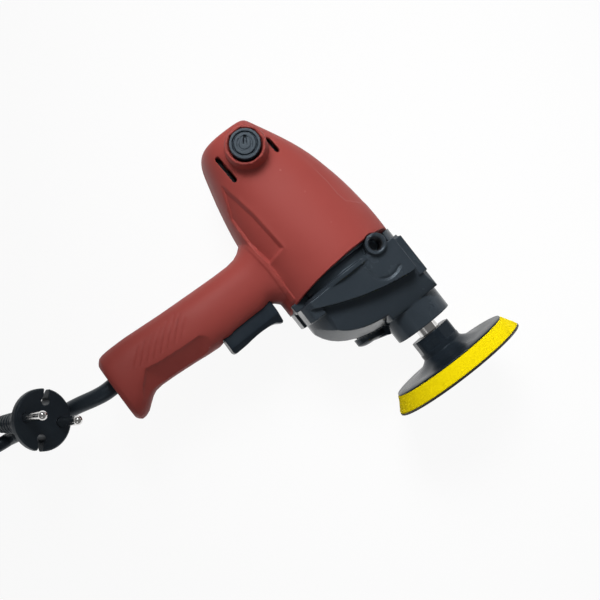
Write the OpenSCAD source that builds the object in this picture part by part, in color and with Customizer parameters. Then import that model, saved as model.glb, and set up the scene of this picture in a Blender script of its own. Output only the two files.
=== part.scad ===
// Pistol-grip rotary polisher, lying on its side with its mains lead put away beside it.
// The pieces are drawn in the tool's own axes and placed once, by tool():
// +X runs along the spindle towards the pad, +Y to the top of the barrel, +Z to the upper side.
// Their zero is the middle of the collar's end face. The lying tool rests on its pad rim.

/* [Pad and spindle] */
// Diameter of the pad at its working face
pad_d = 76.4; // [70:0.2:84]
// Diameter of the foam where it meets the backing plate
pad_back_d = 66.6; // [60:0.2:70]
// Thickness of the foam
foam_t = 7.9; // [5:0.1:12]
// Thickness of the hook layer
hook_t = 1.2; // [0.8:0.1:2]
// Thickness of the backing plate at its rim
plate_rim_t = 1.6; // [1:0.1:3]
// Height of the backing plate's flare above its rim
flare_h = 6.4; // [4:0.1:9]
// Height of the hexagonal hub
hub_h = 8.4; // [6:0.1:12]
// Width across the hub's flats
hub_flats = 21; // [18:0.5:24]
// Diameter of the spindle
spindle_d = 12; // [11:0.1:12.5]
// Length of spindle that shows between collar and hub
spindle_show = 4.6; // [3:0.1:8]
// Width across the spindle's spanner flats
spindle_flats = 10; // [9:0.1:10.8]
// Diameter of the stud that carries the backing plate
stud_d = 8; // [6:0.5:9]
// Length of the stud
stud_len = 13; // [9:0.5:15]

/* [Gear head] */
// Length of the gear case from its joint face to the collar's end
case_len = 52; // [50:0.5:56]
// Half of the gear case's width
case_half_w = 27.5; // [26:0.1:30]
// Height of the gear case above the spindle axis
case_top = 14.8; // [14.6:0.1:16.5]
// Depth of the gear case below the spindle axis
case_drop = 49; // [48:0.1:52]
// Diameter of the collar
collar_d = 32; // [31:0.1:33]
// Length of the collar
collar_len = 12.5; // [11.5:0.1:15]
// Teeth on the spindle gear
gear_teeth = 27; // [25:1:27]
// Teeth on the armature's pinion
pinion_teeth = 11; // [10:1:12]
// Module of the gears
gear_module = 1; // [0.98:0.01:1]
// Face width of the spindle gear
gear_w = 10; // [7:0.5:11]
// Backlash of the gear pair
backlash = 0.22; // [0.15:0.01:0.3]
// Diameter of the tapped side-handle holes (M8)
side_hole_d = 6.8; // [6.4:0.1:7.2]
// Depth of the side-handle holes
side_hole_depth = 13; // [9:0.5:14]
// Diameter of the side-handle bosses
side_boss_d = 11; // [10.8:0.2:14]
// Distance of the side-handle boss faces from the middle plane
side_boss_z = 30; // [28.5:0.1:31]
// Distance of the side-handle holes behind the collar's end
side_hole_back = 48.2; // [47:0.1:48.5]
// Thickness of the bearing plate
plate_t = 6; // [5.5:0.1:7]

/* [Barrel] */
// Outer radius of the barrel at its mouth
mouth_r = 32.5; // [32.3:0.1:33]
// Half thickness of the barrel half way along
middle_half_z = 30.6; // [30:0.1:32]
// Half thickness of the barrel at the brushes
brush_half_z = 27.4; // [26.4:0.1:28]
// Half thickness of the barrel at its rear
rear_half_z = 25; // [24:0.1:26]
// Length of the barrel
barrel_len = 90.8; // [90.4:0.1:92]
// Wall of the housing
wall = 2.4; // [2.2:0.1:2.6]
// Diameter of the carbon brush bosses
brush_boss_d = 21; // [20:0.2:23]
// Diameter of the brush caps
brush_cap_d = 15.6; // [14:0.2:16.5]
// Distance of the brush caps' tops from the motor axis
brush_reach = 37.2; // [36.5:0.1:37.3]
// Backward lean of the brushes, in degrees
brush_lean = 9; // [8:0.5:11]
// Width of the vent slots
vent_w = 2.3; // [1.6:0.1:3]

/* [Motor] */
// Diameter of the armature core
rotor_d = 32; // [30:0.2:32.4]
// Diameter of the stator core
stator_d = 46.6; // [45:0.2:46.8]
// Length of the armature and stator cores
core_len = 26; // [22:0.5:26]
// Diameter of the armature shaft
shaft_d = 8; // [7:0.2:8.4]
// Diameter of the commutator
commutator_d = 21; // [19:0.2:22]
// Diameter of the cooling fan
fan_d = 54; // [48:0.5:56]
// Number of fan blades
fan_blades = 14; // [8:1:18]
// Air gap between armature and stator
air_gap = 0.6; // [0.4:0.05:1]

/* [Handle and trigger] */
// Half thickness of the handle
grip_half_t = 16.8; // [16:0.1:18]
// Reach of the handle's end below the spindle axis
grip_end = 144.8; // [144:0.2:148]
// Half width of the trigger
trigger_half_w = 8.5; // [7:0.1:9.5]
// Travel of the trigger
trigger_travel = 4.5; // [3:0.1:4.6]
// Diameter of the housing screws
screw_d = 2.9; // [2.5:0.1:3.2]

/* [Mains lead] */
// Diameter of the lead
cord_d = 7; // [6.4:0.1:7.2]
// Diameter of the guard where it leaves the handle
guard_d = 8.8; // [8:0.1:9.4]
// Diameter of the plug's face
plug_d = 31; // [30.4:0.2:33]
// Depth of the plug's body
plug_depth = 25; // [24:0.5:27]
// Diameter of the plug pins
pin_d = 4.8; // [4:0.1:4.8]
// Length of the plug pins
pin_len = 19; // [17:0.5:19]
// Spacing of the plug pins
pin_gap = 19; // [17.5:0.1:19]

/* [Hidden] */
$fn = 64;

// Clearances: a running fit, a seat in a moulded wall, a loose fit, and the room between neighbours
fit = 0.03;
loose = 0.15;
seat = 0.08;
room = 0.4;

// The tool's place: the bottom middle of its own box
pad_r = pad_d / 2;
mouth_back = 48;
pad_face_x = spindle_show + hub_h + flare_h + plate_rim_t + foam_t + hook_t;
rear_x = -mouth_back - barrel_len;
tool_x = -(pad_face_x + rear_x) / 2;
tool_y = -(pad_r - grip_end) / 2;
floor_z = -pad_r;

// Stations along the tool, from the collar backwards
case_back = -case_len;
plate_back = case_back - plate_t;
axis_gap = gear_module * (gear_teeth + pinion_teeth) / 2;
motor_y = -axis_gap;
gear_front = case_back + 18;
gear_back = gear_front - gear_w;
fan_front = plate_back - 4.5;
core_front = fan_front - 12.5;
core_back = core_front - core_len;
commutator_front = core_back - 12;
commutator_back = commutator_front - 14;
rear_bearing_front = commutator_back - 2;
rear_bearing_w = 6;

// Bearings: outer diameter and width
front_bearing_d = 28;
front_bearing_w = 7;
motor_bearing_d = 22;
motor_bearing_w = 7;
rear_bearing_d = 19;
rear_journal_d = 6;
bush_d = 12;
bush_bore = 8;
cavity_r = gear_module * gear_teeth / 2 + 1.4;

// Colours
red = [0.62, 0.27, 0.25];
black = [0.10, 0.11, 0.13];
dark_grey = [0.25, 0.26, 0.28];
steel = [0.72, 0.72, 0.74];
copper = [0.72, 0.42, 0.22];
brass = [0.78, 0.62, 0.28];
iron = [0.42, 0.43, 0.46];
yellow = [0.95, 0.80, 0.08];

// Small vector and curve helpers
function unit(v) = v / norm(v);
function flat(lists) = [for (l = lists) each l];
function catmull(a, b, c, d, t) = 0.5 * (2 * b + (c - a) * t + (2 * a - 5 * b + 4 * c - d) * t * t
    + (3 * b - a - 3 * c + d) * t * t * t);
function smooth(p, n) = let (m = len(p) - 1)
    [for (i = [0:m - 1], j = [0:n - 1])
        catmull(p[max(0, i - 1)], p[i], p[i + 1], p[min(m, i + 2)], j / n), p[m]];
function bezier(a, b, c, n) = [for (i = [0:n]) let (t = i / n)
    (1 - t) * (1 - t) * a + 2 * t * (1 - t) * b + t * t * c];
function arc(cx, cy, r, a0, a1, n) = [for (i = [0:n]) let (a = a0 + (a1 - a0) * i / n)
    [cx + r * cos(a), cy + r * sin(a)]];

// Solids along the axes: a prism's outline is given in the two other axes
module prism_x(x0, x1) translate([x0, 0, 0]) rotate([90, 0, 90]) linear_extrude(x1 - x0) children();
module prism_y(y0, y1) translate([0, y1, 0]) rotate([90, 0, 0]) linear_extrude(y1 - y0) children();
module prism_z(z0, z1) translate([0, 0, z0]) linear_extrude(z1 - z0) children();
module rod_x(x0, x1, d) translate([x0, 0, 0]) rotate([0, 90, 0]) cylinder(d = d, h = x1 - x0);
module tube_x(x0, x1, d_out, d_in) difference() {
    rod_x(x0, x1, d_out);
    rod_x(x0 - 1, x1 + 1, d_in);
}
module turned_x(profile) rotate([90, 0, 90]) rotate_extrude()
    polygon([for (p = profile) [p[1], p[0]]]);
module box(low, high) translate(low) cube(high - low);
module both_sides() {
    children();
    mirror([0, 0, 1]) children();
}
module tool() translate([tool_x, tool_y, pad_r]) children();
module on_motor_axis() translate([0, motor_y, 0]) children();

// A closed skin over rings of points, and a tube swept along a path
module skin(rings) {
    n = len(rings[0]);
    m = len(rings);
    sides = [for (i = [0:m - 2], k = [0:n - 1]) let (a = i * n + k, b = i * n + (k + 1) % n)
        each [[a, a + n, b], [b, a + n, b + n]]];
    caps = [for (k = [1:n - 2]) each [[0, k, k + 1], [(m - 1) * n, (m - 1) * n + k + 1, (m - 1) * n + k]]];
    polyhedron(points = flat(rings), faces = concat(sides, caps));
}
function heading(p, i) = unit(p[min(i + 1, len(p) - 1)] - p[max(i - 1, 0)]);
function tube_rings(path, radii, sides) = [for (i = [0:len(path) - 1])
    let (t = heading(path, i), a = unit(cross(t, [0, 0, 1])), b = cross(t, a))
    [for (k = [0:sides - 1]) path[i] + radii[i] * (a * cos(360 * k / sides) + b * sin(360 * k / sides))]];
module tube(path, radii, sides) skin(tube_rings(path, radii, sides));
function same(path, r) = [for (p = path) r];

// A small round-wire compression spring along Z, with both ends flat on their seats
module coil_spring(d, wire, length, turns) {
    steps = turns * 8;
    path = [for (i = [0:steps]) let (a = 360 * i / 8)
        [(d - wire) / 2 * cos(a), (d - wire) / 2 * sin(a), wire / 2 + (length - wire) * i / steps]];
    tube(path, same(path, wire / 2), 6);
}

// Housing: a lofted barrel with a lofted pistol handle, hollowed and split at the middle plane.
// Barrel sections: place on X, lower edge, upper edge, half thickness, squareness of the corners
barrel_sides = 48;
function barrel_sections(inset) = [
    [-40, -51.6, 14.6, mouth_r, 2], [-50, -51.9, 14.8, mouth_r, 2], [-60, -52.1, 14.8, mouth_r - 0.1, 2.05],
    [-72, -52, 13.9, mouth_r - 0.7, 2.15], [-84, -51.4, 12.2, middle_half_z + 0.4, 2.3],
    [-95, -50, 9.8, middle_half_z - 0.4, 2.4], [-105, -48.1, 7.1, middle_half_z - 1.4, 2.5],
    [-115, -45.8, 3, brush_half_z + 1.2, 2.6], [-125, -43, -2, brush_half_z, 2.7],
    [rear_x + 7 + inset, -41, -5.6, brush_half_z - 0.9, 2.7],
    [rear_x + 3.2 + inset, -39.2, -7.5, rear_half_z + 0.2, 2.7],
    [rear_x + 0.9 + inset, -37.4, -8.8, rear_half_z - 1.6, 2.7],
    [rear_x + inset, -35.4, -10, rear_half_z - 3.8, 2.7]];
function rounded_unit(v, power) = sign(v) * pow(abs(v), 2 / power);
function barrel_ring(s, inset) = [for (k = [0:barrel_sides - 1]) let (a = -360 * k / barrel_sides)
    [s[0], (s[1] + s[2]) / 2 + ((s[2] - s[1]) / 2 - inset) * rounded_unit(cos(a), s[4]),
     (s[3] - inset) * rounded_unit(sin(a), s[4])]];
module barrel(inset) skin([for (s = smooth(barrel_sections(inset), 2)) barrel_ring(s, inset)]);

// Handle sections: height on Y, back edge, front edge, half thickness
function grip_sections() = [
    [-38, -97, -46, grip_half_t + 4], [-47, -93.5, -48.5, grip_half_t + 2.5],
    [-54, -88, -56, grip_half_t + 0.6], [-62, -86, -57.5, grip_half_t - 0.3],
    [-80, -86.5, -57.5, grip_half_t], [-90, -87, -55.8, grip_half_t + 0.2],
    [-104, -87.7, -57.2, grip_half_t], [-124, -89.2, -58.8, grip_half_t],
    [-grip_end + 14, -89.4, -57.2, grip_half_t + 0.4], [-grip_end + 8, -89.4, -52.6, grip_half_t + 0.7],
    [-grip_end + 3, -88.6, -51.4, grip_half_t + 0.3], [-grip_end + 0.54, -85.6, -54.2, grip_half_t - 2.4]];
grip_sides = 28;
end_slant = 0.035;
function soft(v) = sign(v) * pow(abs(v), 0.8);
function grip_ring(s, inset) = let (xm = (s[1] + s[2]) / 2,
        lean = end_slant * max(0, (-s[0] - 110) / (grip_end - 110)))
    [for (k = [0:grip_sides - 1]) let (a = 360 * k / grip_sides,
            dx = ((s[2] - s[1]) / 2 - inset) * soft(cos(a)))
        [xm + dx, s[0] - lean * dx, (s[3] - inset) * soft(sin(a))]];
module grip(inset) skin([for (s = smooth(grip_sections(), 2)) grip_ring(s, inset)]);

// Housing screws: places of the bosses, and where the heads seat below the middle plane
screw_places = [[-82.5, -101], [-64, -112], [-83.5, -136], [-84, -53.5], [-62.5, -52.4], [-124.5, -36.2]];
screw_boss_d = screw_d + 4;
// A boss stands on a short rib, as moulded bosses do
module screw_boss(p) hull() {
    translate([p[0], p[1], -30]) cylinder(d = screw_boss_d, h = 60, $fn = 20);
    translate([p[0] - 0.8, p[1] - screw_boss_d / 2 - 1.5, -30]) cube([1.6, screw_boss_d + 3, 60]);
}
screw_head_d = 6;
screw_head_h = 2.2;
screw_seat = -8;
screw_tip = 9;

// Trigger window and trigger slide
trigger_low = -86.9;
trigger_high = -56.3;
trigger_back = -64.5;
switch_front = trigger_back - trigger_travel - 0.5;
switch_back = -83;
switch_low = -90;
switch_high = -59;
cord_exit = [-73.5, -grip_end];
guard_flange_d = guard_d + 5;
guard_flange_t = 2.4;
clamp_y = -127;
clamp_half = 9.5;
clamp_t = 6.2;
clamp_screw_d = 2.5;
clamp_screw_x = [for (s = [-1, 1]) cord_exit[0] + 6.6 * s];

// Brush line: Z of its own frame points out along the brush
brush_x = -120;
brush_drop = 4.2;
module brush_frame() translate([brush_x, motor_y, 0]) rotate([brush_drop, -brush_lean, 0]) children();
cap_t = 5;
brush_tube_in = [8.2, 6.2];
brush_tube_out = [9.8, 7.8];
brush_tube_low = commutator_d / 2 + 3;
module rect(size) square(size, center = true);

module housing_solid() {
    barrel(0);
    grip(0);
    both_sides() brush_frame() cylinder(d1 = brush_boss_d + 3, d2 = brush_boss_d, h = brush_reach - 2);
}

// Room inside the housing, less the ribs that hold the stator and the rear bearing
rib_w = 3;
plate_rib_w = 3;
module housing_room() {
    difference() {
        barrel(wall);
        on_motor_axis() {
            for (x = [core_back + 2, core_front - 2 - rib_w])
                tube_x(x, x + rib_w, stator_d + 30, stator_d + 2 * seat);
            tube_x(rear_bearing_front - rear_bearing_w - 1.2, rear_bearing_front, 3 * rear_bearing_d,
                rear_bearing_d + 2 * seat);
        }
        box([plate_back - plate_rib_w, -80, -60], [20, 60, 60]);
        for (p = screw_places) screw_boss(p);
        both_sides() brush_frame() translate([0, 0, brush_tube_low]) cylinder(d = brush_boss_d - 1, h = 40);
    }
    difference() {
        grip(wall);
        box([-100, -44, -40], [-40, -30, 40]);
        for (p = screw_places) screw_boss(p);
        for (x = clamp_screw_x) translate([x, clamp_y, -30]) cylinder(d = clamp_screw_d + 3, h = 30 - fit);
        box([-100, -grip_end - 1, -40], [-40, -grip_end + 7, 40]);
    }
}

// Mouth of the housing: both halves are cut back towards their sides
mouth_slant = 10;
module mouth_cut() both_sides() translate([-47.6, -18.1, 0]) rotate([0, -mouth_slant, 3])
    box([0, -80, -20], [60, 80, 80]);

module housing_holes() {
    on_motor_axis() {
        rod_x(plate_back, 0, spigot_d + 2 * loose);
        rod_x(plate_back - plate_rib_w - 1, 0, spigot_d - 6);
        rod_x(rear_bearing_front - rear_bearing_w - 1.2, rear_bearing_front + 1, rear_bearing_d + 2 * seat);
    }
    both_sides() brush_frame() {
        translate([0, 0, brush_tube_low - 5]) linear_extrude(50) rect(brush_tube_out + 2 * [fit, fit]);
        translate([0, 0, brush_reach - cap_t]) cylinder(d = brush_cap_d + 2 * seat, h = 10);
    }
    both_sides() for (v = [[-129.4, -115.8, -35], [-122, -114.8, -9.2]])
        hull() for (x = [v[0], v[1]]) translate([x, v[2], 14]) cylinder(d = vent_w, h = 18, $fn = 16);
    both_sides() translate([-side_hole_back, 0, 15]) cylinder(d = side_boss_d + 2 * room, h = 40);
    for (p = screw_places) translate([p[0], p[1], 0]) {
        translate([0, 0, -40]) cylinder(d = screw_head_d + 2 * loose, h = 40 + screw_seat, $fn = 20);
        translate([0, 0, -41]) cylinder(d = screw_d + 2 * seat, h = 41 + screw_tip + 0.6, $fn = 16);
    }
    for (x = clamp_screw_x) translate([x, clamp_y, -7])
        cylinder(d = clamp_screw_d + 2 * seat, h = 8, $fn = 16);
    box([switch_front, trigger_low - room, -trigger_half_w - room],
        [-40, trigger_high + room, trigger_half_w + room]);
    translate([cord_exit[0], -grip_end + 8, 0]) rotate([90, 0, 0]) {
        translate([0, 0, -4]) cylinder(d = cord_d + 2, h = 5);
        cylinder(d = guard_d + 2 * loose, h = 20);
        translate([0, 0, 3 - fit]) cylinder(d = guard_flange_d + 2 * loose, h = guard_flange_t + 2 * fit);
    }
    box([switch_back - loose, switch_low - loose, -10.2], [switch_front + 3, switch_high + loose, 10.2]);
}

module housing() difference() {
    housing_solid();
    housing_room();
    mouth_cut();
    housing_holes();
}
module near_shell() color(red) tool() intersection() {
    housing($fn = 40);
    box([-200, -200, 0], [60, 60, 80]);
}
module far_shell() color(red) tool() intersection() {
    housing($fn = 40);
    box([-200, -200, -80], [60, 60, 0]);
}
module housing_screws() color(steel) tool() for (p = screw_places) translate([p[0], p[1], 0]) difference() {
    union() {
        translate([0, 0, screw_seat - screw_head_h]) cylinder(d = screw_head_d, h = screw_head_h);
        translate([0, 0, screw_seat]) cylinder(d = screw_d, h = screw_tip - screw_seat);
    }
    for (a = [0, 90]) translate([0, 0, screw_seat - screw_head_h]) rotate([0, 0, a])
        cube([3.4, 0.8, 2], center = true);
}

// Gear case: side, plan and end outlines cut one rounded nose, and a flat plate stands out on each side
case_screws = [[motor_y - 16.4, 16.4], [motor_y + 10, 21]];
case_screw_d = 4;
case_screw_head_d = 7;
knob_y = -24;
// The case's body starts in front of the housing mouth, and a round spigot goes into it
case_face = case_back + 6.5;
spigot_d = 2 * mouth_r - 2 * wall - 0.1;
rim_x = case_back + 5;
nose_drop = 6.5;
function case_side() = concat([[case_face, case_top - 0.8], [case_face + 1.6, case_top - 0.8],
        [case_face + 1.6, case_top], [-collar_len - 1, case_top], [-collar_len, collar_d / 2]],
    bezier([-collar_len, -collar_d / 2], [-15.5, -case_drop + 4], [case_back + 18, -case_drop], 9),
    [[case_face, -case_drop]]);
function case_plan(half_w) = concat([[case_face, -half_w]],
    bezier([case_back + 22, -half_w], [-17, -half_w + 2], [-collar_len, -collar_d / 2], 7),
    bezier([-collar_len, collar_d / 2], [-17, half_w - 2], [case_back + 22, half_w], 7),
    [[case_face, half_w]]);
case_round = 37;
function case_end(half_w) = concat(arc(motor_y, 0, case_round + 1.2 * (half_w - case_half_w), 125, 235, 16),
    [[case_top - 5, -half_w - 1], [case_top, -half_w + 5], [case_top, half_w - 5],
     [case_top - 5, half_w + 1]]);
// Outline of the raised side plate: top lip, front edge, lower lug, and the rim along the housing mouth
lip_y = 9.6;
function side_plate() = [[case_face, lip_y], [case_back + 25.6, lip_y], [case_back + 25.8, lip_y - 4],
    [case_back + 23.2, -9], [case_back + 19.8, -21.5], [case_back + 15.6, -32.5], [case_back + 12, -40.5],
    [case_back + 9.5, -46], [case_face, -46]];

module gear_case() color(black) tool() difference() {
    union() {
        intersection() {
            prism_z(-40, 40) polygon(case_side());
            prism_y(-80, 40) polygon(case_plan(case_half_w - nose_drop));
            prism_x(case_back, 0) polygon(case_end(case_half_w - nose_drop));
        }
        intersection() {
            prism_z(-case_half_w, case_half_w) polygon(side_plate());
            prism_x(case_back, 0) polygon(case_end(case_half_w));
        }
        // Corner lugs, lower edge
        both_sides() intersection() {
            prism_z(8, 25) polygon([[case_face, -40], [case_back + 15.6, -40],
                [case_back + 15.6, -case_drop], [case_face, -case_drop]]);
            prism_x(case_back, 0) polygon(case_end(case_half_w));
        }
        on_motor_axis() rod_x(case_back, case_face + 1, spigot_d - 7);
        on_motor_axis() rod_x(rim_x, case_face + 1, spigot_d);
        rod_x(-collar_len - 3, 0, collar_d);
        both_sides() translate([-side_hole_back, 0, 15]) cylinder(d = side_boss_d, h = side_boss_z - 15);
        // Grease plug boss under the nose, on the lower side
        translate([0, knob_y, -13]) rod_x(-26, -8.8, 16);
        prism_z(-17, -9) polygon([[-16, knob_y - 4], [-8.8, knob_y - 2.5], [-6, -14.5], [-16, -10]]);
    }
    rod_x(case_back - 1, gear_front + 1, 2 * cavity_r);
    on_motor_axis() rod_x(case_back - 1, gear_front + 1, gear_module * (pinion_teeth + 2) + 5);
    on_motor_axis() rod_x(case_back - 1, case_back + 3, motor_bearing_d + 2);
    rod_x(-front_bearing_w - 3.4, 1, front_bearing_d + 2 * fit);
    rod_x(case_back, 0, spindle_d + 5);
    both_sides() translate([-side_hole_back, 0, side_boss_z - side_hole_depth]) {
        cylinder(d = side_hole_d, h = 40);
        translate([0, 0, side_hole_depth - 0.8]) cylinder(d1 = side_hole_d, d2 = side_hole_d + 2.4, h = 1.2);
    }
    both_sides() for (p = case_screws) translate([0, p[0], p[1]])
        rod_x(case_back - 1, case_back + 12.6, case_screw_d + 2 * fit);
}

module cap_screw(seat_x, direction, length) translate([seat_x, 0, 0]) rotate([0, 90 * direction, 0])
    difference() {
        union() {
            cylinder(d = case_screw_head_d, h = 4);
            translate([0, 0, -length]) cylinder(d = case_screw_d, h = length);
        }
        translate([0, 0, 1.6]) cylinder(d = 3.6, h = 4, $fn = 6);
    }
module gear_case_screws() color(steel) tool() both_sides() {
    for (p = case_screws) translate([0, p[0], p[1]])
        cap_screw(plate_back, -1, case_back + 12 - plate_back);
}

// Partition that carries the motor's front bearing and the spindle's rear bush
plate_step = 1.5;
module bearing_plate() color(dark_grey) tool() difference() {
    on_motor_axis() rod_x(plate_back, case_back, spigot_d);
    on_motor_axis() {
        rod_x(plate_back - 1, plate_back + motor_bearing_w - 2 * plate_step, motor_bearing_d + 2 * fit);
        rod_x(plate_back - 1, 0, shaft_d + 6);
    }
    rod_x(plate_back + plate_step, 0, bush_d + 2 * fit);
    both_sides() {
        for (p = case_screws) translate([0, p[0], p[1]])
            rod_x(plate_back - 1, 0, case_screw_d + 2 * fit);
    }
    // Clear of the side-handle bosses' corner of the housing mouth
    both_sides() translate([-side_hole_back, 0, 15]) cylinder(d = side_boss_d + 2 * room, h = 40);
}

// Involute gears
pressure = 20;
shift = 0.3;
addendum = 0.9;
function inv(a) = tan(a) - a * PI / 180;
function half_angle(r, n, s) = let (rp = gear_module * n / 2, rb = rp * cos(pressure),
    t = gear_module * (PI / 2 + 2 * s * tan(pressure)) - backlash / 2)
    (t / (2 * rp) + inv(pressure) - inv(acos(min(1, rb / r)))) * 180 / PI;
function tooth(n, s) = let (rp = gear_module * n / 2, base = rp * cos(pressure),
    tip = rp + gear_module * (addendum + s), root = rp + gear_module * (s - 1.25), low = max(base, root),
    flank = [for (i = [0:5]) let (r = low + (tip - low) * i / 5) [r, half_angle(r, n, s)]])
    concat([[root, -flank[0][1]]], [for (f = flank) [f[0], -f[1]]],
        [for (i = [5:-1:0]) [flank[i][0], flank[i][1]]], [[root, flank[0][1]]]);
module gear_outline(n, s, first) polygon([for (k = [0:n - 1], p = tooth(n, s))
    let (a = first + 360 * k / n + p[1]) [p[0] * cos(a), p[0] * sin(a)]]);

// Spindle: rear journal, gear seat with shoulder, front journal, spanner flats, stud
shoulder_d = spindle_d + 3;
module spindle() color(steel) tool() difference() {
    union() {
        rod_x(plate_back + plate_step + 0.5, gear_back, bush_bore - 2 * fit);
        rod_x(gear_back, spindle_show, spindle_d);
        rod_x(gear_front + 0.1, -front_bearing_w - 3.4 - room, shoulder_d);
        rod_x(spindle_show, spindle_show + stud_len, stud_d);
    }
    for (s = [-1, 1]) translate([0, s * (spindle_flats + 6) / 2, 0])
        box([0.6, -3, -10], [spindle_show - 0.6, 3, 10]);
}
module spindle_gear() color(iron) tool() difference() {
    union() {
        prism_x(gear_back, gear_front) gear_outline(gear_teeth, -shift, 180);
        rod_x(gear_back - 2, gear_front, spindle_d + 8);
    }
    rod_x(gear_back - 3, gear_front + 1, spindle_d + 2 * fit);
    for (k = [0:5]) rotate([60 * k + 30, 0, 0]) translate([0, (spindle_d / 2 + cavity_r) / 2, 0])
        rod_x(gear_back + gear_w / 2, gear_front + 1, 3);
}
module bearing(x0, w, d_out, d_in) difference() {
    tube_x(x0, x0 + w, d_out, d_in + 2 * fit);
    for (x = [x0 - 1, x0 + w - 0.6]) tube_x(x, x + 1.6, d_out - 4, d_in + 4);
}
module spindle_front_bearing() color(steel) tool()
    bearing(-front_bearing_w - 3.4, front_bearing_w, front_bearing_d, spindle_d);
module collar_seal() color(dark_grey) tool()
    tube_x(-3.4, -1.2, front_bearing_d, spindle_d + 0.6);
module spindle_clip() color(steel) tool()
    tube_x(-1.2, -0.2, front_bearing_d, front_bearing_d - 5);
module spindle_rear_bush() color(brass) tool()
    tube_x(plate_back + plate_step, gear_back - 2.6, bush_d, bush_bore);

// Backing plate with a hexagonal hub, yellow foam and hook layer
hub_top = spindle_show + 0.2;
flare_top = spindle_show + hub_h;
rim_back = flare_top + flare_h;
foam_back = rim_back + plate_rim_t;
hook_back = foam_back + foam_t;
flare_r = hub_flats / 2 + 14;
module backing_plate() color(black) tool() difference() {
    union() {
        rod_x(hub_top, flare_top + 1.5, hub_flats / cos(30) - 1.4);
        turned_x(concat([[flare_top - 1, 0]],
            bezier([flare_top - 1, hub_flats / 2 - 1], [rim_back - 0.6, hub_flats / 2 + 1.5],
                [rim_back, flare_r], 8), [[rim_back + 0.2, pad_back_d / 2 - 0.6]],
            [[foam_back, pad_back_d / 2 - 0.3], [foam_back, 0]]));
    }
    for (k = [0:5]) rotate([60 * k, 0, 0]) translate([0, hub_flats / 2 + 10, 0])
        box([0, -10, -20], [flare_top - 0.6, 10, 20]);
    rod_x(0, spindle_show + stud_len + 0.5, stud_d + 2 * fit);
}
module foam_pad() color(yellow) tool() turned_x(concat([[foam_back, 0]],
    bezier([foam_back, pad_back_d / 2], [foam_back + foam_t / 2, (pad_back_d + pad_d) / 4 + 0.5],
        [hook_back, pad_r], 4), [[hook_back, 0]]));
module hook_layer() color(black) tool() rod_x(hook_back, pad_face_x, pad_d);

// Armature: shaft with its pinion, core with slots, windings, commutator and fan
shaft_rear = rear_bearing_front - rear_bearing_w - 0.8;
module armature_shaft() color(steel) tool() on_motor_axis() {
    rod_x(shaft_rear, rear_bearing_front, rear_journal_d - 2 * fit);
    rod_x(rear_bearing_front, gear_back - 1, shaft_d - 2 * fit);
    prism_x(gear_back - 1, gear_front) gear_outline(pinion_teeth, shift, 180 / pinion_teeth);
}
rotor_slots = 12;
module armature_core() color(iron) tool() on_motor_axis() difference() {
    rod_x(core_back, core_front, rotor_d);
    rod_x(core_back - 1, core_front + 1, shaft_d);
    for (k = [0:rotor_slots - 1]) rotate([360 * k / rotor_slots, 0, 0]) {
        translate([0, rotor_d / 2 - 4, 0]) rod_x(core_back - 1, core_front + 1, 4);
        box([core_back - 1, rotor_d / 2 - 4, -0.9], [core_front + 1, rotor_d / 2 + 1, 0.9]);
    }
}
winding_w = 6;
module winding_end(x0, x1, r) turned_x([[x0, shaft_d / 2 + 0.5], [x0, r], [(x0 + 2 * x1) / 3, r - 0.6],
    [x1, r - 3], [x1, shaft_d / 2 + 0.5]]);
module armature_windings() color(copper) tool() on_motor_axis() {
    winding_end(core_front, core_front + winding_w, rotor_d / 2 - 2);
    winding_end(core_back, core_back - winding_w, rotor_d / 2 - 2);
}
segments = 20;
module commutator() color(copper) tool() on_motor_axis() difference() {
    union() {
        rod_x(commutator_back, commutator_front, commutator_d);
        rod_x(commutator_front - 2.2, commutator_front, commutator_d + 3);
    }
    rod_x(commutator_back - 1, commutator_front + 1, shaft_d);
    for (k = [0:segments - 1]) rotate([360 * (k + 0.5) / segments, 0, 0])
        box([commutator_back - 1, commutator_d / 2 - 1.2, -0.3], [commutator_front + 1, commutator_d, 0.3]);
}
fan_w = 6;
fan_hub_d = 20;
module cooling_fan() color(dark_grey) tool() on_motor_axis() difference() {
    union() {
        rod_x(fan_front - fan_w, fan_front, fan_hub_d);
        rod_x(fan_front - 1.6, fan_front, fan_d - 6);
        for (k = [0:fan_blades - 1]) rotate([360 * k / fan_blades, 0, 0])
            translate([0, fan_hub_d / 2 - 1, 0]) rotate([18, 0, 0])
                box([fan_front - fan_w, 0, -0.6], [fan_front - 0.4, (fan_d - fan_hub_d) / 2, 0.6]);
    }
    rod_x(fan_front - fan_w - 1, fan_front + 1, shaft_d);
}
module motor_front_bearing() color(steel) tool() on_motor_axis()
    bearing(plate_back + motor_bearing_w - 2 * plate_step - motor_bearing_w, motor_bearing_w,
        motor_bearing_d, shaft_d);
module motor_rear_bearing() color(steel) tool() on_motor_axis()
    bearing(rear_bearing_front - rear_bearing_w, rear_bearing_w, rear_bearing_d, rear_journal_d);

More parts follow.
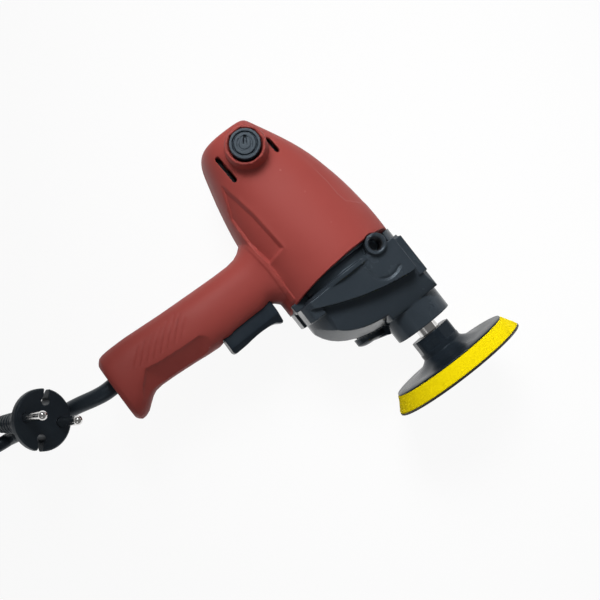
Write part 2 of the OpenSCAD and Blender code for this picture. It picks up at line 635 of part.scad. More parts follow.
// Stator and its two field coils: each coil runs through two slots and round both end faces
coil_in = rotor_d / 2 + air_gap + 1.4;
coil_out = stator_d / 2 - 2.2;
coil_half_angle = 52;
coil_side_angle = 22;
coil_end_w = 5;
module sector(r0, r1, a0, a1, x0, x1) rotate([90, 0, 90]) rotate([0, 0, a0]) rotate_extrude(angle = a1 - a0)
    translate([r0, x0]) square([r1 - r0, x1 - x0]);
module coil_sides(extra) for (s = [-1, 1])
    let (a = s > 0 ? coil_half_angle : -coil_half_angle - coil_side_angle)
    sector(coil_in - extra, coil_out + extra, a - 2 * extra, a + coil_side_angle + 2 * extra,
        core_back - coil_end_w, core_front + coil_end_w);
module stator_core() color(iron) tool() on_motor_axis() difference() {
    tube_x(core_back, core_front, stator_d, rotor_d + 2 * air_gap);
    for (a = [0, 180]) rotate([a, 0, 0]) coil_sides(loose);
}
module field_coils() color(copper) tool() on_motor_axis() for (a = [0, 180]) rotate([a, 0, 0])
    difference() {
        sector(coil_in, coil_out, -coil_half_angle - coil_side_angle, coil_half_angle + coil_side_angle,
            core_back - coil_end_w, core_front + coil_end_w);
        sector(coil_in - 1, coil_out + 1, -coil_half_angle, coil_half_angle, core_back, core_front);
    }

// Brush gear
brush_len = 12;
spring_low = commutator_d / 2 + brush_len + 0.4;
module brush_caps() color(black) tool() both_sides() brush_frame() difference() {
    translate([0, 0, brush_reach - cap_t]) cylinder(d = brush_cap_d, h = cap_t);
    for (d = [brush_cap_d - 3, brush_cap_d - 8]) translate([0, 0, brush_reach - 0.7]) difference() {
        cylinder(d = d, h = 2);
        cylinder(d = d - 1.6, h = 2);
    }
    // Short slot from the middle towards the edge
    rotate([0, 0, 142]) translate([2, 0, brush_reach]) cube([4.4, 1.6, 3], center = true);
}
module brush_tubes() color(brass) tool() both_sides() brush_frame() translate([0, 0, brush_tube_low])
    linear_extrude(brush_reach - cap_t - brush_tube_low - 0.2) difference() {
        rect(brush_tube_out);
        rect(brush_tube_in);
    }
module carbon_brushes() color(dark_grey) tool() both_sides() difference() {
    brush_frame() translate([0, 0, commutator_d / 2 - 2]) linear_extrude(brush_len + 2)
        rect(brush_tube_in - 2 * [fit, fit]);
    on_motor_axis() rod_x(-140, -100, commutator_d + 2 * fit);
}
module brush_springs() color(steel) tool() both_sides() brush_frame() translate([0, 0, spring_low])
    coil_spring(5.4, 0.7, brush_reach - cap_t - spring_low - 0.2, 5);

// Trigger, its spring, the switch and the capacitor
trigger_front = -48.2;
module trigger() color(black) tool() difference() {
    intersection() {
        prism_z(-trigger_half_w, trigger_half_w) polygon(concat([[trigger_back, trigger_low + 0.6]],
            arc(trigger_front - 1.6, trigger_low + 1.8, 1.8, 270, 360, 4),
            bezier([trigger_front, -79], [trigger_front - 1.2, -70], [trigger_front - 0.2, -62.5], 5),
            bezier([trigger_front + 0.4, -60.5], [trigger_front + 1.6, -58.6], [trigger_front + 2.4, -57.6], 3),
            [[trigger_front + 1.6, trigger_high - 0.5], [trigger_front - 6, trigger_high],
             [trigger_back, trigger_high]]));
        // Both long front corners are cut back to a crease
        rotate([90, 0, 0]) translate([0, 0, 50]) linear_extrude(45) polygon([for (s = [-1, 1], v = s < 0 ?
            [[trigger_back - 1, 0], [trigger_front - 3, 0], [trigger_front + 3, 4.4]] :
            [[trigger_front + 3, 4.4], [trigger_front - 3, 0], [trigger_back - 1, 0]])
                [v[0], s * (trigger_half_w - v[1])]]);
    }
    box([trigger_back - 1, -82, -trigger_half_w + 2], [trigger_front - 4, -61, trigger_half_w - 2]);
}
spring_y = -71.5;
module trigger_spring() color(steel) tool() translate([switch_front + 0.1, spring_y, 0]) rotate([0, 90, 0])
    coil_spring(8, 0.9, trigger_front - 4 - switch_front - 0.2, 7);
module switch_body() color(dark_grey) tool() difference() {
    box([switch_back, switch_low, -10], [switch_front, switch_high, 10]);
    for (z = [-6, 6]) translate([switch_back + 4.5, switch_low - 1, z]) rotate([-90, 0, 0])
        cylinder(d = 3.4, h = 6);
    box([switch_front - 1.2, -80, -4.2], [switch_front + 1, -63, -5.4]);
}
cap_high = switch_low - 0.3;
module capacitor() color(brass) tool() box([-79, cap_high - 9, -5.5], [-66.5, cap_high, 5.5]);
clamp_cord_y = [clamp_y - 3, clamp_y + 3];
module inner_cord() color(black) tool() translate([cord_exit[0], cap_high - 9.4, 0]) rotate([90, 0, 0])
    cylinder(d = cord_d, h = -5 - guard_flange_t - (-grip_end + 0.0) + cap_high - 9.4 - 0.2);
module cord_clamp() color(dark_grey) tool() difference() {
    box([cord_exit[0] - clamp_half, clamp_cord_y[0], 0],
        [cord_exit[0] + clamp_half, clamp_cord_y[1], clamp_t]);
    translate([cord_exit[0], clamp_y + 10, 0]) rotate([90, 0, 0]) cylinder(d = cord_d + 2 * fit, h = 20);
    for (x = clamp_screw_x) translate([x, clamp_y, -1]) cylinder(d = clamp_screw_d + 2 * fit, h = 20);
}
module clamp_screws() color(steel) tool() for (x = clamp_screw_x) translate([x, clamp_y, 0]) {
    translate([0, 0, clamp_t]) cylinder(d = clamp_screw_d + 2, h = 1.8);
    translate([0, 0, -6]) cylinder(d = clamp_screw_d, h = 6 + clamp_t);
}

// The plug's own axes: out along the pins, and across them
plug_at = [-81.2, -180.3, 8];
plug_out = unit([0.292, 0.46, 0.838]);
pin_row = unit([0.593, 0.537, -0.591] - plug_out * ([0.593, 0.537, -0.591] * plug_out));
plug_up = cross(plug_out, pin_row);
module plug_frame() multmatrix([for (i = [0:2]) [pin_row[i], plug_up[i], plug_out[i], plug_at[i]]])
    children();
relief_len = 21;
plug_end = plug_at - plug_out * (plug_depth + relief_len);

// The lead: guard and free stretches go along points chosen by hand, the coil along a formula
floor_cord_z = floor_z + cord_d / 2;
guard_points = [[cord_exit[0], -grip_end + 2.6, 0], [cord_exit[0], -grip_end - 4, 0], [-74.6, -155, -1.8],
    [-77, -164, -6.5], [-79.2, -174, -13.5], [-81.8, -184, -21.5], [-84.0, -193, -28]];
guard_run = smooth(guard_points, 3);
guard_last = len(guard_run) - 1;
guard_dir = unit(guard_run[guard_last] - guard_run[guard_last - 1]);
guard_tip = guard_run[guard_last] + guard_dir * cord_d;
guard_path = concat(guard_run, [guard_tip]);
tie_t = 1.2;
coil_low_z = floor_cord_z + tie_t + 0.2;
coil_at = [-167.5, -263.1];
coil_first = -23.4;
coil_last = 60;
coil_turns_in = (7 * 360 + coil_first - coil_last) / 720;
coil_step = cord_d + 0.5;
coil_in_r = 4 * cord_d + 0.5;
coil_out_r = coil_in_r + coil_turns_in * coil_step;
coil_angle = 720 * coil_turns_in;
coil_rings = 24;
function coil_r(a) = coil_in_r + coil_step / 360 * abs(a - coil_angle / 2);
function climb(a) = let (t = min(1, max(0, (a - coil_angle / 2) / 180 + 0.5))) t * t * (3 - 2 * t);
function coil_point(a) = let (r = coil_r(a), b = coil_first - a)
    [coil_at[0] + r * cos(b), coil_at[1] + r * sin(b), coil_low_z + climb(a) * coil_step];
coil_steps = ceil(coil_angle / 360 * coil_rings);
coil_turn_path = [for (i = [0:coil_steps]) coil_point(coil_angle * i / coil_steps)];
coil_head = [sin(coil_first), -cos(coil_first), 0];
coil_leave = unit(coil_turn_path[coil_steps] - coil_turn_path[coil_steps - 1]);
coil_path = concat([coil_turn_path[0] - coil_head * cord_d], coil_turn_path,
    [coil_turn_path[coil_steps] + coil_leave * cord_d]);
coil_start = coil_path[0];
coil_end = coil_path[len(coil_path) - 1];
function free_run(from, out, points, to, in) = concat([from],
    smooth(concat([from + out * cord_d], points, [to - in * cord_d]), 3), [to]);
lead_path = free_run(guard_tip, guard_dir,
    [[-87.6, -211.5, -34.2], [-90.6, -223, -34.8], [-96.4, -237, -34.4]], coil_start, coil_head);
tail_path = free_run(coil_end, coil_leave,
    [[-126, -222.6, -30.4], [-114, -223.6, -32.4], [-105, -219.6, -32]], plug_end, plug_out);
// Least gap between the coil's turns, measured on its points
coil_gap = min([for (i = [0:coil_steps], j = [i + coil_rings / 2:coil_steps])
    norm(coil_turn_path[i] - coil_turn_path[j])]) - cord_d;
function path_len(p) = len(p) < 2 ? 0 : [for (i = 0, s = 0; i < len(p); s = s + (i < len(p) - 1
    ? norm(p[i + 1] - p[i]) : 0), i = i + 1) s][len(p) - 1];
echo(coil_gap = coil_gap, lead = path_len(guard_path) + path_len(lead_path) + path_len(coil_path)
    + path_len(tail_path));

module cord_guard() color(black) tool() {
    translate([cord_exit[0], -grip_end + 5, 0]) rotate([90, 0, 0]) {
        cylinder(d = guard_flange_d, h = guard_flange_t);
        cylinder(d = guard_d - 1, h = 4);
    }
    tube(guard_path, [for (i = [0:len(guard_path) - 1]) guard_d / 2 - 0.5 * i / len(guard_path)], 12);
}
module cord_lead() color(black) tool() tube(lead_path, same(lead_path, cord_d / 2), 8);
module cord_coil() color(black) tool() tube(coil_path, same(coil_path, cord_d / 2), 6);
module cord_tail() color(black) tool() tube(tail_path, same(tail_path, cord_d / 2), 8);

// Tie round the coil's turns, at its far side
tie_angle = -150;
tie_w = 9;
tie_in = [coil_out_r - coil_in_r + cord_d + 1.6, coil_step + cord_d + 0.5];
module coil_tie() color(dark_grey) tool()
    translate([coil_at[0], coil_at[1], floor_z + tie_t + tie_in[1] / 2]) rotate([0, 0, tie_angle])
        translate([(coil_out_r + coil_in_r) / 2, tie_w / 2, 0]) rotate([90, 0, 0])
            linear_extrude(tie_w) difference() {
                rect(tie_in + 2 * [tie_t, tie_t]);
                rect(tie_in);
            }

// Round two-pin plug: face with two keyhole notches, tapering body, ribbed relief
ribs = 6;
function plug_profile() = concat([[0, 0], [plug_d / 2 - 0.8, 0], [plug_d / 2, -0.8], [plug_d / 2, -4.2],
        [plug_d / 2 - 0.6, -5]],
    bezier([plug_d / 2 - 2, -6.2], [7.5, -9], [6.4, -plug_depth], 7),
    [for (k = [0:ribs - 1]) each let (z = -plug_depth - k * relief_len / ribs, r = 5.8 - 0.25 * k)
        [[r - 1, z - 0.4], [r - 1, z - 1.2], [r, z - 1.5], [r, z - relief_len / ribs]]],
    [[0, -plug_depth - relief_len]]);
module plug_body() color(black) tool() plug_frame() difference() {
    rotate_extrude() polygon(plug_profile());
    for (s = [-1, 1]) {
        translate([0, s * (plug_d / 2 - 6.2), -14]) cylinder(d = 4.6, h = 15);
        translate([-1.4, s > 0 ? plug_d / 2 - 6.2 : -plug_d / 2 - 1, -14]) cube([2.8, 7.2, 15]);
        translate([s * pin_gap / 2, 0, -10]) cylinder(d = pin_d + 2 * fit, h = 11);
    }
}
module plug_pins() color(steel) tool() plug_frame() for (s = [-1, 1]) translate([s * pin_gap / 2, 0, 0]) {
    translate([0, 0, -9.8]) cylinder(d = pin_d, h = 9.8 + pin_len - pin_d / 2);
    translate([0, 0, pin_len - pin_d / 2]) sphere(d = pin_d);
}

near_shell();
far_shell();
housing_screws();
gear_case();
gear_case_screws();
bearing_plate();
spindle();
spindle_gear();
spindle_front_bearing();
spindle_rear_bush();
collar_seal();
spindle_clip();
backing_plate();
foam_pad();
hook_layer();
armature_shaft();
armature_core();
armature_windings();
commutator();
cooling_fan();
motor_front_bearing();
motor_rear_bearing();
stator_core();
field_coils();
brush_caps();
brush_tubes();
carbon_brushes();
brush_springs();
trigger();
trigger_spring();
switch_body();
capacitor();
inner_cord();
cord_clamp();
clamp_screws();
cord_guard();
cord_lead();
cord_coil();
cord_tail();
coil_tie();
plug_body();
plug_pins();
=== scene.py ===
# %% [markdown]
# # A pistol-grip rotary polisher
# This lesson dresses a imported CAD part. The CAD solids give the sizes and the joints, and here the pieces
# that show get the soft edges, surface detail and finish of the real ones. All of it lies in the CAD part's
# own frame. The lines drawn on the housing and the gear head were measured in the photograph.

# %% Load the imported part
import math

import bmesh
import bpy
import numpy as np
from mathutils import Matrix, Vector, noise


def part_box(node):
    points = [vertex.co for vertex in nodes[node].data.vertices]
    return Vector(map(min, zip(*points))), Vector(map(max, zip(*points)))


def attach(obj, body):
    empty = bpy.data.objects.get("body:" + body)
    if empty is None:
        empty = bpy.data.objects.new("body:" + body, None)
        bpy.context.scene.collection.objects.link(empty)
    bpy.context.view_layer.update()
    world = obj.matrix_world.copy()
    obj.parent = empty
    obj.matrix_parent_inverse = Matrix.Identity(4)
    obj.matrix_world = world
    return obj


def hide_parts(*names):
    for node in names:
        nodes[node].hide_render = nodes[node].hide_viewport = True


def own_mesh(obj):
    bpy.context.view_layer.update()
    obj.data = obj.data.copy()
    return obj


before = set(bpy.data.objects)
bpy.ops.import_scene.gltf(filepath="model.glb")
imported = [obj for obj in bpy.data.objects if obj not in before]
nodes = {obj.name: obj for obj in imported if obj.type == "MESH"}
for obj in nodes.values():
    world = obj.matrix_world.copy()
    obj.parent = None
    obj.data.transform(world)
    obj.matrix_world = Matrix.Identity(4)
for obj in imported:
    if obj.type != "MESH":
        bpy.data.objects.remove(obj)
scene = bpy.context.scene
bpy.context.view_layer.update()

# %% [markdown]
# ## The tool's own axes
# The polisher is easiest to describe from the end of its collar: X runs along the spindle to the pad, Y
# to the top of the barrel, Z out of the camera side. The pad's box in the CAD part says where that point
# lies.

# %% Tool axes
pad_low, pad_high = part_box("foam_pad")
hook_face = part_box("hook_layer")[1].x
PAD_FACE_X = 30.1
COLLAR = Vector((hook_face - PAD_FACE_X / 1000, (pad_low.y + pad_high.y) / 2, (pad_low.z + pad_high.z) / 2))
COLLAR_POINT = np.array(COLLAR)


def at(x, y, z=0.0):
    """A point in the tool's axes, in millimetres, as a place in the frame."""
    return COLLAR + Vector((x, y, z)) / 1000


def in_tool(points):
    """Places in the frame as points in the tool's axes, in millimetres."""
    return (np.asarray(points) - COLLAR_POINT) * 1000


print("collar at", [round(v, 4) for v in COLLAR])

# %% [markdown]
# ## Camera
# The photograph looks down on the tool as it lies on its side, from a little towards the handle. A lens
# of 75 mm at 0.64 m gives the mild perspective of the picture: the raised brush cap leans outwards.

# %% Camera
CAMERA_DISTANCE, LENS_MM, SENSOR_MM = 640, 75, 36
CAMERA_TILT = math.radians(8)
CAMERA_RIGHT = Vector((0.6157, 0.788, 0))
AIM = at(-49.5, -42.9)


def linked(name, data):
    """A new object in the scene."""
    obj = bpy.data.objects.new(name, data)
    scene.collection.objects.link(obj)
    return obj


back = Vector((0, -math.sin(CAMERA_TILT), math.cos(CAMERA_TILT)))
across = (CAMERA_RIGHT - back * CAMERA_RIGHT.dot(back)).normalized()
upward = back.cross(across)
camera_data = bpy.data.cameras.new("camera")
camera_data.lens, camera_data.sensor_width = LENS_MM, SENSOR_MM
camera_data.clip_start, camera_data.clip_end = 0.01, 20
camera = linked("camera", camera_data)
camera.matrix_world = Matrix.Translation(AIM + back * CAMERA_DISTANCE / 1000) @ Matrix(
    (across, upward, back)).transposed().to_4x4()
scene.camera = camera
print("camera at", [round(v, 3) for v in camera.location])

# %% [markdown]
# ## Floor
# A white sweep. It is part emission, seen by the camera and by mirror rays only, so that it comes out white
# while the lamps stay at a plain level and its shadow stays. The far brush cap is the tool's lowest point, a
# little under the pad, so the floor lies there.

# %% Floor
FLOOR_HALF, FLOOR_DROP, FLOOR_WHITE, FLOOR_GLOW = 3.0, 0.0016, 0.86, 0.93
scene.view_settings.view_transform = "Standard"


def wire(tree, source, target):
    tree.links.new(source, target)


floor_mesh = bpy.data.meshes.new("floor")
corners = [(FLOOR_HALF * x, FLOOR_HALF * y, 0) for x, y in ((-1, -1), (1, -1), (1, 1), (-1, 1))]
floor_mesh.from_pydata(corners, [], [(0, 1, 2, 3)])
floor = linked("floor", floor_mesh)
floor.location.z = -FLOOR_DROP
floor_paint = bpy.data.materials.new("floor_white")
floor_paint.use_nodes = True
tree = floor_paint.node_tree
tree.nodes.clear()
out = tree.nodes.new("ShaderNodeOutputMaterial")
matte = tree.nodes.new("ShaderNodeBsdfDiffuse")
matte.inputs["Color"].default_value = (FLOOR_WHITE, FLOOR_WHITE, FLOOR_WHITE, 1)
glow = tree.nodes.new("ShaderNodeEmission")
glow.inputs["Color"].default_value = (1, 1, 1, 1)
mix = tree.nodes.new("ShaderNodeMixShader")
path = tree.nodes.new("ShaderNodeLightPath")
seen = tree.nodes.new("ShaderNodeMath")
seen.operation = "MAXIMUM"
share = tree.nodes.new("ShaderNodeMath")
share.operation = "MULTIPLY"
share.inputs[1].default_value = FLOOR_GLOW
wire(tree, path.outputs["Is Camera Ray"], seen.inputs[0])
wire(tree, path.outputs["Is Glossy Ray"], seen.inputs[1])
wire(tree, seen.outputs[0], share.inputs[0])
wire(tree, share.outputs[0], mix.inputs[0])
wire(tree, matte.outputs[0], mix.inputs[1])
wire(tree, glow.outputs[0], mix.inputs[2])
wire(tree, mix.outputs[0], out.inputs["Surface"])
floor_mesh.materials.append(floor_paint)
print("floor at", floor.location.z)

# %% [markdown]
# ## Light
# One soft lamp points at the back of the barrel, a weak one at the pad, and one stands beyond the barrel's
# top to draw its edge. A dim even sky fills the shadows.

# %% Light
SKY_STRENGTH = 0.16
world = bpy.data.worlds.new("studio")
scene.world = world
world.use_nodes = True
sky = world.node_tree.nodes["Background"]
sky.inputs["Color"].default_value = (1, 1, 1, 1)
sky.inputs["Strength"].default_value = SKY_STRENGTH


def soft_lamp(name, place, aim, size, watts, spread=180):
    """A rectangular lamp turned towards a point; spread is the angle of its beam."""
    lamp = bpy.data.lights.new(name, "AREA")
    lamp.shape, lamp.size, lamp.size_y, lamp.energy = "RECTANGLE", size[0], size[1], watts
    lamp.spread = math.radians(spread)
    obj = linked(name, lamp)
    obj.location = place
    obj.rotation_mode = "QUATERNION"
    obj.rotation_quaternion = (Vector(aim) - Vector(place)).to_track_quat("-Z", "Y")


soft_lamp("top_lamp", at(-330, 120, 350), at(-66, 56), (0.34, 0.34), 0.38, 40)
soft_lamp("side_lamp", at(200, -320, 330), at(14, -6), (0.3, 0.3), 0.03, 56)
soft_lamp("edge_lamp", at(-40, 430, 90), at(-40, 0, 20), (0.3, 0.12), 0.12)

# %% [markdown]
# ## Shared surface effects
# Moulded plastic, cast paint and rubber all have a fine grain, soft marks from handling and rubbed edges.
# Each effect is a small node group with its own inputs, so one build serves every finish.

# %% Shared effects


def effect(name, inputs, outputs):
    """An empty shader group with named sockets; inputs are (name, kind, default)."""
    group = bpy.data.node_groups.new(name, "ShaderNodeTree")
    for label, kind, value in inputs:
        socket = group.interface.new_socket(label, in_out="INPUT", socket_type=kind)
        socket.default_value = value
    for label, kind in outputs:
        group.interface.new_socket(label, in_out="OUTPUT", socket_type=kind)
    return group, group.nodes.new("NodeGroupInput"), group.nodes.new("NodeGroupOutput")


def feed(tree, value, socket):
    """Joins a socket to another node's output, or sets it to a constant."""
    if hasattr(value, "is_output"):
        wire(tree, value, socket)
    else:
        socket.default_value = value


def blend_node(tree, factor, first, second):
    """Mixes two colours."""
    node = tree.nodes.new("ShaderNodeMix")
    node.data_type, node.blend_type = "RGBA", "MIX"
    node.clamp_factor = True
    for socket, value in ((node.inputs[0], factor), (node.inputs[6], first), (node.inputs[7], second)):
        feed(tree, value, socket)
    return node.outputs[2]


def sum_node(tree, operation, *values):
    node = tree.nodes.new("ShaderNodeMath")
    node.operation = operation
    for socket, value in zip(node.inputs, values):
        feed(tree, value, socket)
    return node.outputs[0]


def spread(tree, value, low, high):
    """0 below low, 1 above high, smooth between."""
    node = tree.nodes.new("ShaderNodeMapRange")
    node.interpolation_type = "SMOOTHSTEP"
    wire(tree, value, node.inputs["Value"])
    for label, number in (("From Min", low), ("From Max", high), ("To Min", 0.0), ("To Max", 1.0)):
        node.inputs[label].default_value = number
    return node.outputs["Result"]


def speckle(tree, scale, detail, rough):
    """Noise over the piece's own coordinates."""
    place = tree.nodes.new("ShaderNodeTexCoord")
    node = tree.nodes.new("ShaderNodeTexNoise")
    wire(tree, place.outputs["Object"], node.inputs["Vector"])
    feed(tree, scale, node.inputs["Scale"])
    node.inputs["Detail"].default_value = detail
    node.inputs["Roughness"].default_value = rough
    return node.outputs["Fac"]


grain, gin, gout = effect("surface_grain", [("Scale", "NodeSocketFloat", 900.0),
                                            ("Coarse", "NodeSocketFloat", 120.0)],
                          [("Height", "NodeSocketFloat")])
fine = speckle(grain, gin.outputs["Scale"], 3.0, 0.6)
wide = speckle(grain, gin.outputs["Coarse"], 2.0, 0.5)
wire(grain, sum_node(grain, "MULTIPLY_ADD", wide, 0.6, fine), gout.inputs["Height"])

marks, gin, gout = effect("handling_marks", [("Base", "NodeSocketColor", (1, 1, 1, 1)),
                                             ("Mark", "NodeSocketColor", (0, 0, 0, 1)),
                                             ("Amount", "NodeSocketFloat", 0.3),
                                             ("Scale", "NodeSocketFloat", 25.0),
                                             ("Gloss", "NodeSocketFloat", 0.5),
                                             ("Gloss Change", "NodeSocketFloat", 0.1)],
                          [("Color", "NodeSocketColor"), ("Roughness", "NodeSocketFloat")])
cloud = spread(marks, speckle(marks, gin.outputs["Scale"], 4.0, 0.62), 0.38, 0.68)
wire(marks, blend_node(marks, sum_node(marks, "MULTIPLY", cloud, gin.outputs["Amount"]), gin.outputs["Base"],
                       gin.outputs["Mark"]), gout.inputs["Color"])
swing = sum_node(marks, "MULTIPLY_ADD", sum_node(marks, "SUBTRACT", cloud, 0.5), gin.outputs["Gloss Change"],
                 gin.outputs["Gloss"])
wire(marks, swing, gout.inputs["Roughness"])

edges, gin, gout = effect("rubbed_edges", [("Base", "NodeSocketColor", (1, 1, 1, 1)),
                                           ("Worn", "NodeSocketColor", (1, 1, 1, 1)),
                                           ("Amount", "NodeSocketFloat", 0.4)],
                          [("Color", "NodeSocketColor"), ("Mask", "NodeSocketFloat")])
geometry = edges.nodes.new("ShaderNodeNewGeometry")
ridge = spread(edges, geometry.outputs["Pointiness"], 0.53, 0.62)
patchy = spread(edges, speckle(edges, 160.0, 3.0, 0.6), 0.3, 0.65)
mask = sum_node(edges, "MULTIPLY", sum_node(edges, "MULTIPLY", ridge, patchy), gin.outputs["Amount"])
wire(edges, blend_node(edges, mask, gin.outputs["Base"], gin.outputs["Worn"]), gout.inputs["Color"])
wire(edges, mask, gout.inputs["Mask"])
print("effects", [g.name for g in bpy.data.node_groups])

# %% [markdown]
# ## Finishes
# A finish here is one Principled shader with the shared effects in front of it. The red body is a matt,
# slightly dusty moulding; the gear head is thick black paint on a casting; the cord, guard and plug are
# soft black plastic; the spindle and pins are bright turned steel.

# %% Finishes


def finish(name, colour, rough, marked, worn, grained, metal=0.0, level=0.5, sheen=0.0, tint=(1, 1, 1)):
    """A material with marks, rubbed edges and a grain. marked is (colour, amount, scale, change of
    roughness), worn is (colour, amount), grained is (fine scale, coarse scale, strength, depth in mm)."""
    material = bpy.data.materials.new(name)
    material.use_nodes = True
    tree = material.node_tree
    shader = tree.nodes["Principled BSDF"]
    for label, value in (("Metallic", metal), ("Specular IOR Level", level), ("Specular Tint", (*tint, 1)),
                         ("Sheen Weight", sheen)):
        shader.inputs[label].default_value = value
    groups = []
    for group, values in ((marks, {"Base": (*colour, 1), "Mark": (*marked[0], 1), "Amount": marked[1],
                                   "Scale": marked[2], "Gloss": rough, "Gloss Change": marked[3]}),
                          (edges, {"Worn": (*worn[0], 1), "Amount": worn[1]}),
                          (grain, {"Scale": grained[0], "Coarse": grained[1]})):
        node = tree.nodes.new("ShaderNodeGroup")
        node.node_tree = group
        for label, value in values.items():
            node.inputs[label].default_value = value
        groups.append(node)
    hand, rub, pores = groups
    wire(tree, hand.outputs["Color"], rub.inputs["Base"])
    wire(tree, rub.outputs["Color"], shader.inputs["Base Color"])
    wire(tree, hand.outputs["Roughness"], shader.inputs["Roughness"])
    relief = tree.nodes.new("ShaderNodeBump")
    relief.inputs["Strength"].default_value = grained[2]
    relief.inputs["Distance"].default_value = grained[3] / 1000
    wire(tree, pores.outputs["Height"], relief.inputs["Height"])
    wire(tree, relief.outputs["Normal"], shader.inputs["Normal"])
    return material


# The black finishes are bluish in their colour and in the tint of their reflections, standing in for a cool
# reflected surrounding under white lamps and a white sky: painted reflection colour.
BLUE_REFLECTION_TINT = (0.74, 0.88, 1.0)
red_moulding = finish(
    "red_moulding", (0.36, 0.066, 0.056), 0.56, ((0.31, 0.052, 0.044), 0.5, 18, 0.1),
    ((0.5, 0.16, 0.14), 0.5), (1600, 260, 0.35, 0.06), level=0.16)
black_casting = finish(
    "black_casting", (0.030, 0.039, 0.049), 0.24, ((0.039, 0.049, 0.06), 0.5, 40, 0.12),
    ((0.05, 0.06, 0.072), 0.6), (700, 160, 0.22, 0.1), level=0.27, tint=BLUE_REFLECTION_TINT)
black_moulding = finish(
    "black_moulding", (0.013, 0.019, 0.027), 0.36, ((0.020, 0.027, 0.036), 0.5, 45, 0.12),
    ((0.04, 0.048, 0.058), 0.5), (1400, 220, 0.3, 0.06), level=0.27, tint=BLUE_REFLECTION_TINT)
plate_moulding = finish(
    "plate_moulding", (0.011, 0.016, 0.022), 0.3, ((0.017, 0.023, 0.03), 0.5, 45, 0.1),
    ((0.03, 0.037, 0.045), 0.5), (1400, 220, 0.2, 0.05), level=0.16, tint=BLUE_REFLECTION_TINT)
black_rubber = finish(
    "black_rubber", (0.022, 0.030, 0.039), 0.42, ((0.031, 0.040, 0.050), 0.5, 60, 0.12),
    ((0.04, 0.048, 0.058), 0.4), (1300, 200, 0.3, 0.06), level=0.32, tint=BLUE_REFLECTION_TINT)
bright_steel = finish(
    "bright_steel", (0.74, 0.73, 0.72), 0.16, ((0.55, 0.54, 0.53), 0.4, 90, 0.1),
    ((0.85, 0.85, 0.86), 0.4), (1600, 300, 0.1, 0.03), metal=1.0)
dull_steel = finish(
    "dull_steel", (0.42, 0.42, 0.43), 0.36, ((0.22, 0.22, 0.23), 0.5, 90, 0.15),
    ((0.65, 0.65, 0.66), 0.4), (1200, 240, 0.15, 0.04), metal=1.0)
turned_brass = finish(
    "turned_brass", (0.62, 0.42, 0.15), 0.3, ((0.4, 0.25, 0.08), 0.5, 80, 0.15),
    ((0.8, 0.6, 0.3), 0.4), (1200, 200, 0.15, 0.04), metal=1.0)
iron_sheets = finish(
    "iron_sheets", (0.16, 0.16, 0.17), 0.5, ((0.1, 0.08, 0.07), 0.5, 80, 0.15),
    ((0.3, 0.3, 0.31), 0.4), (1200, 200, 0.3, 0.06), metal=0.8)
enamel_wire = finish(
    "enamel_wire", (0.42, 0.15, 0.05), 0.35, ((0.28, 0.09, 0.03), 0.5, 200, 0.15),
    ((0.55, 0.25, 0.1), 0.4), (2500, 900, 0.6, 0.15), metal=0.7)
pressed_carbon = finish(
    "pressed_carbon", (0.03, 0.03, 0.032), 0.55, ((0.05, 0.05, 0.052), 0.5, 90, 0.15),
    ((0.1, 0.1, 0.1), 0.4), (1500, 300, 0.3, 0.05))
hook_pile = finish(
    "hook_pile", (0.012, 0.012, 0.012), 0.85, ((0.03, 0.03, 0.03), 0.5, 300, 0.1),
    ((0.04, 0.04, 0.04), 0.3), (2600, 900, 0.9, 0.35), level=0.2, sheen=0.3)
tie_plastic = finish(
    "tie_plastic", (0.03, 0.03, 0.032), 0.5, ((0.06, 0.06, 0.06), 0.5, 60, 0.12),
    ((0.1, 0.1, 0.1), 0.4), (1200, 200, 0.2, 0.05))
print("finishes", len(bpy.data.materials))

# %% [markdown]
# ## Foam finish
# Polishing foam is a mass of cut cells. Two sizes of cells from a Voronoi texture give the pitted bump,
# and the colour is painted darker inside the pits and paler on the cell walls: painted shade and light.

# %% Foam finish
yellow_foam = bpy.data.materials.new("yellow_foam")
yellow_foam.use_nodes = True
tree = yellow_foam.node_tree
shader = tree.nodes["Principled BSDF"]
shader.inputs["Roughness"].default_value = 0.9
shader.inputs["Specular IOR Level"].default_value = 0.06
place = tree.nodes.new("ShaderNodeTexCoord")
cells = []
for scale in (1500, 620):
    cell = tree.nodes.new("ShaderNodeTexVoronoi")
    cell.inputs["Scale"].default_value = scale
    wire(tree, place.outputs["Object"], cell.inputs["Vector"])
    cells.append(cell.outputs["Distance"])
depth = sum_node(tree, "MULTIPLY_ADD", cells[1], 0.8, cells[0])
# Painted shade in the pits and painted light on the cell walls, following the bump's height.
pit_shade = spread(tree, depth, 0.25, 1.05)
wash = spread(tree, speckle(tree, 70.0, 3.0, 0.6), 0.3, 0.7)
pit_shaded_colour = blend_node(tree, pit_shade, (0.86, 0.66, 0.001, 1), (0.92, 0.73, 0.002, 1))
foam_colour = blend_node(tree, sum_node(tree, "MULTIPLY", wash, 0.35), pit_shaded_colour, (0.88, 0.68, 0.002, 1))
wire(tree, foam_colour, shader.inputs["Base Color"])
relief = tree.nodes.new("ShaderNodeBump")
relief.inputs["Strength"].default_value = 0.22
relief.inputs["Distance"].default_value = 0.0003
wire(tree, depth, relief.inputs["Height"])
wire(tree, relief.outputs["Normal"], shader.inputs["Normal"])
print("foam finish made")

# %% [markdown]
# ## Soft-edged copies
# A CAD solid has knife edges; a moulding or casting has none. A copy of the solid is skinned again with
# small even faces (a voxel remesh), then eased: each point moves towards its neighbours and back, which
# rounds the edges by about a face's width and leaves the size alone. The CAD surface is made of flat
# strips, so the directions that the light sees are then averaged over neighbours that nearly agree: the
# strips vanish and every real edge stays.

# %% Soft-edged copies


def neighbours(mesh):
    """The two ends of each edge."""
    pairs = np.empty(len(mesh.edges) * 2, np.int64)
    mesh.edges.foreach_get("vertices", pairs)
    return pairs.reshape(-1, 2).T


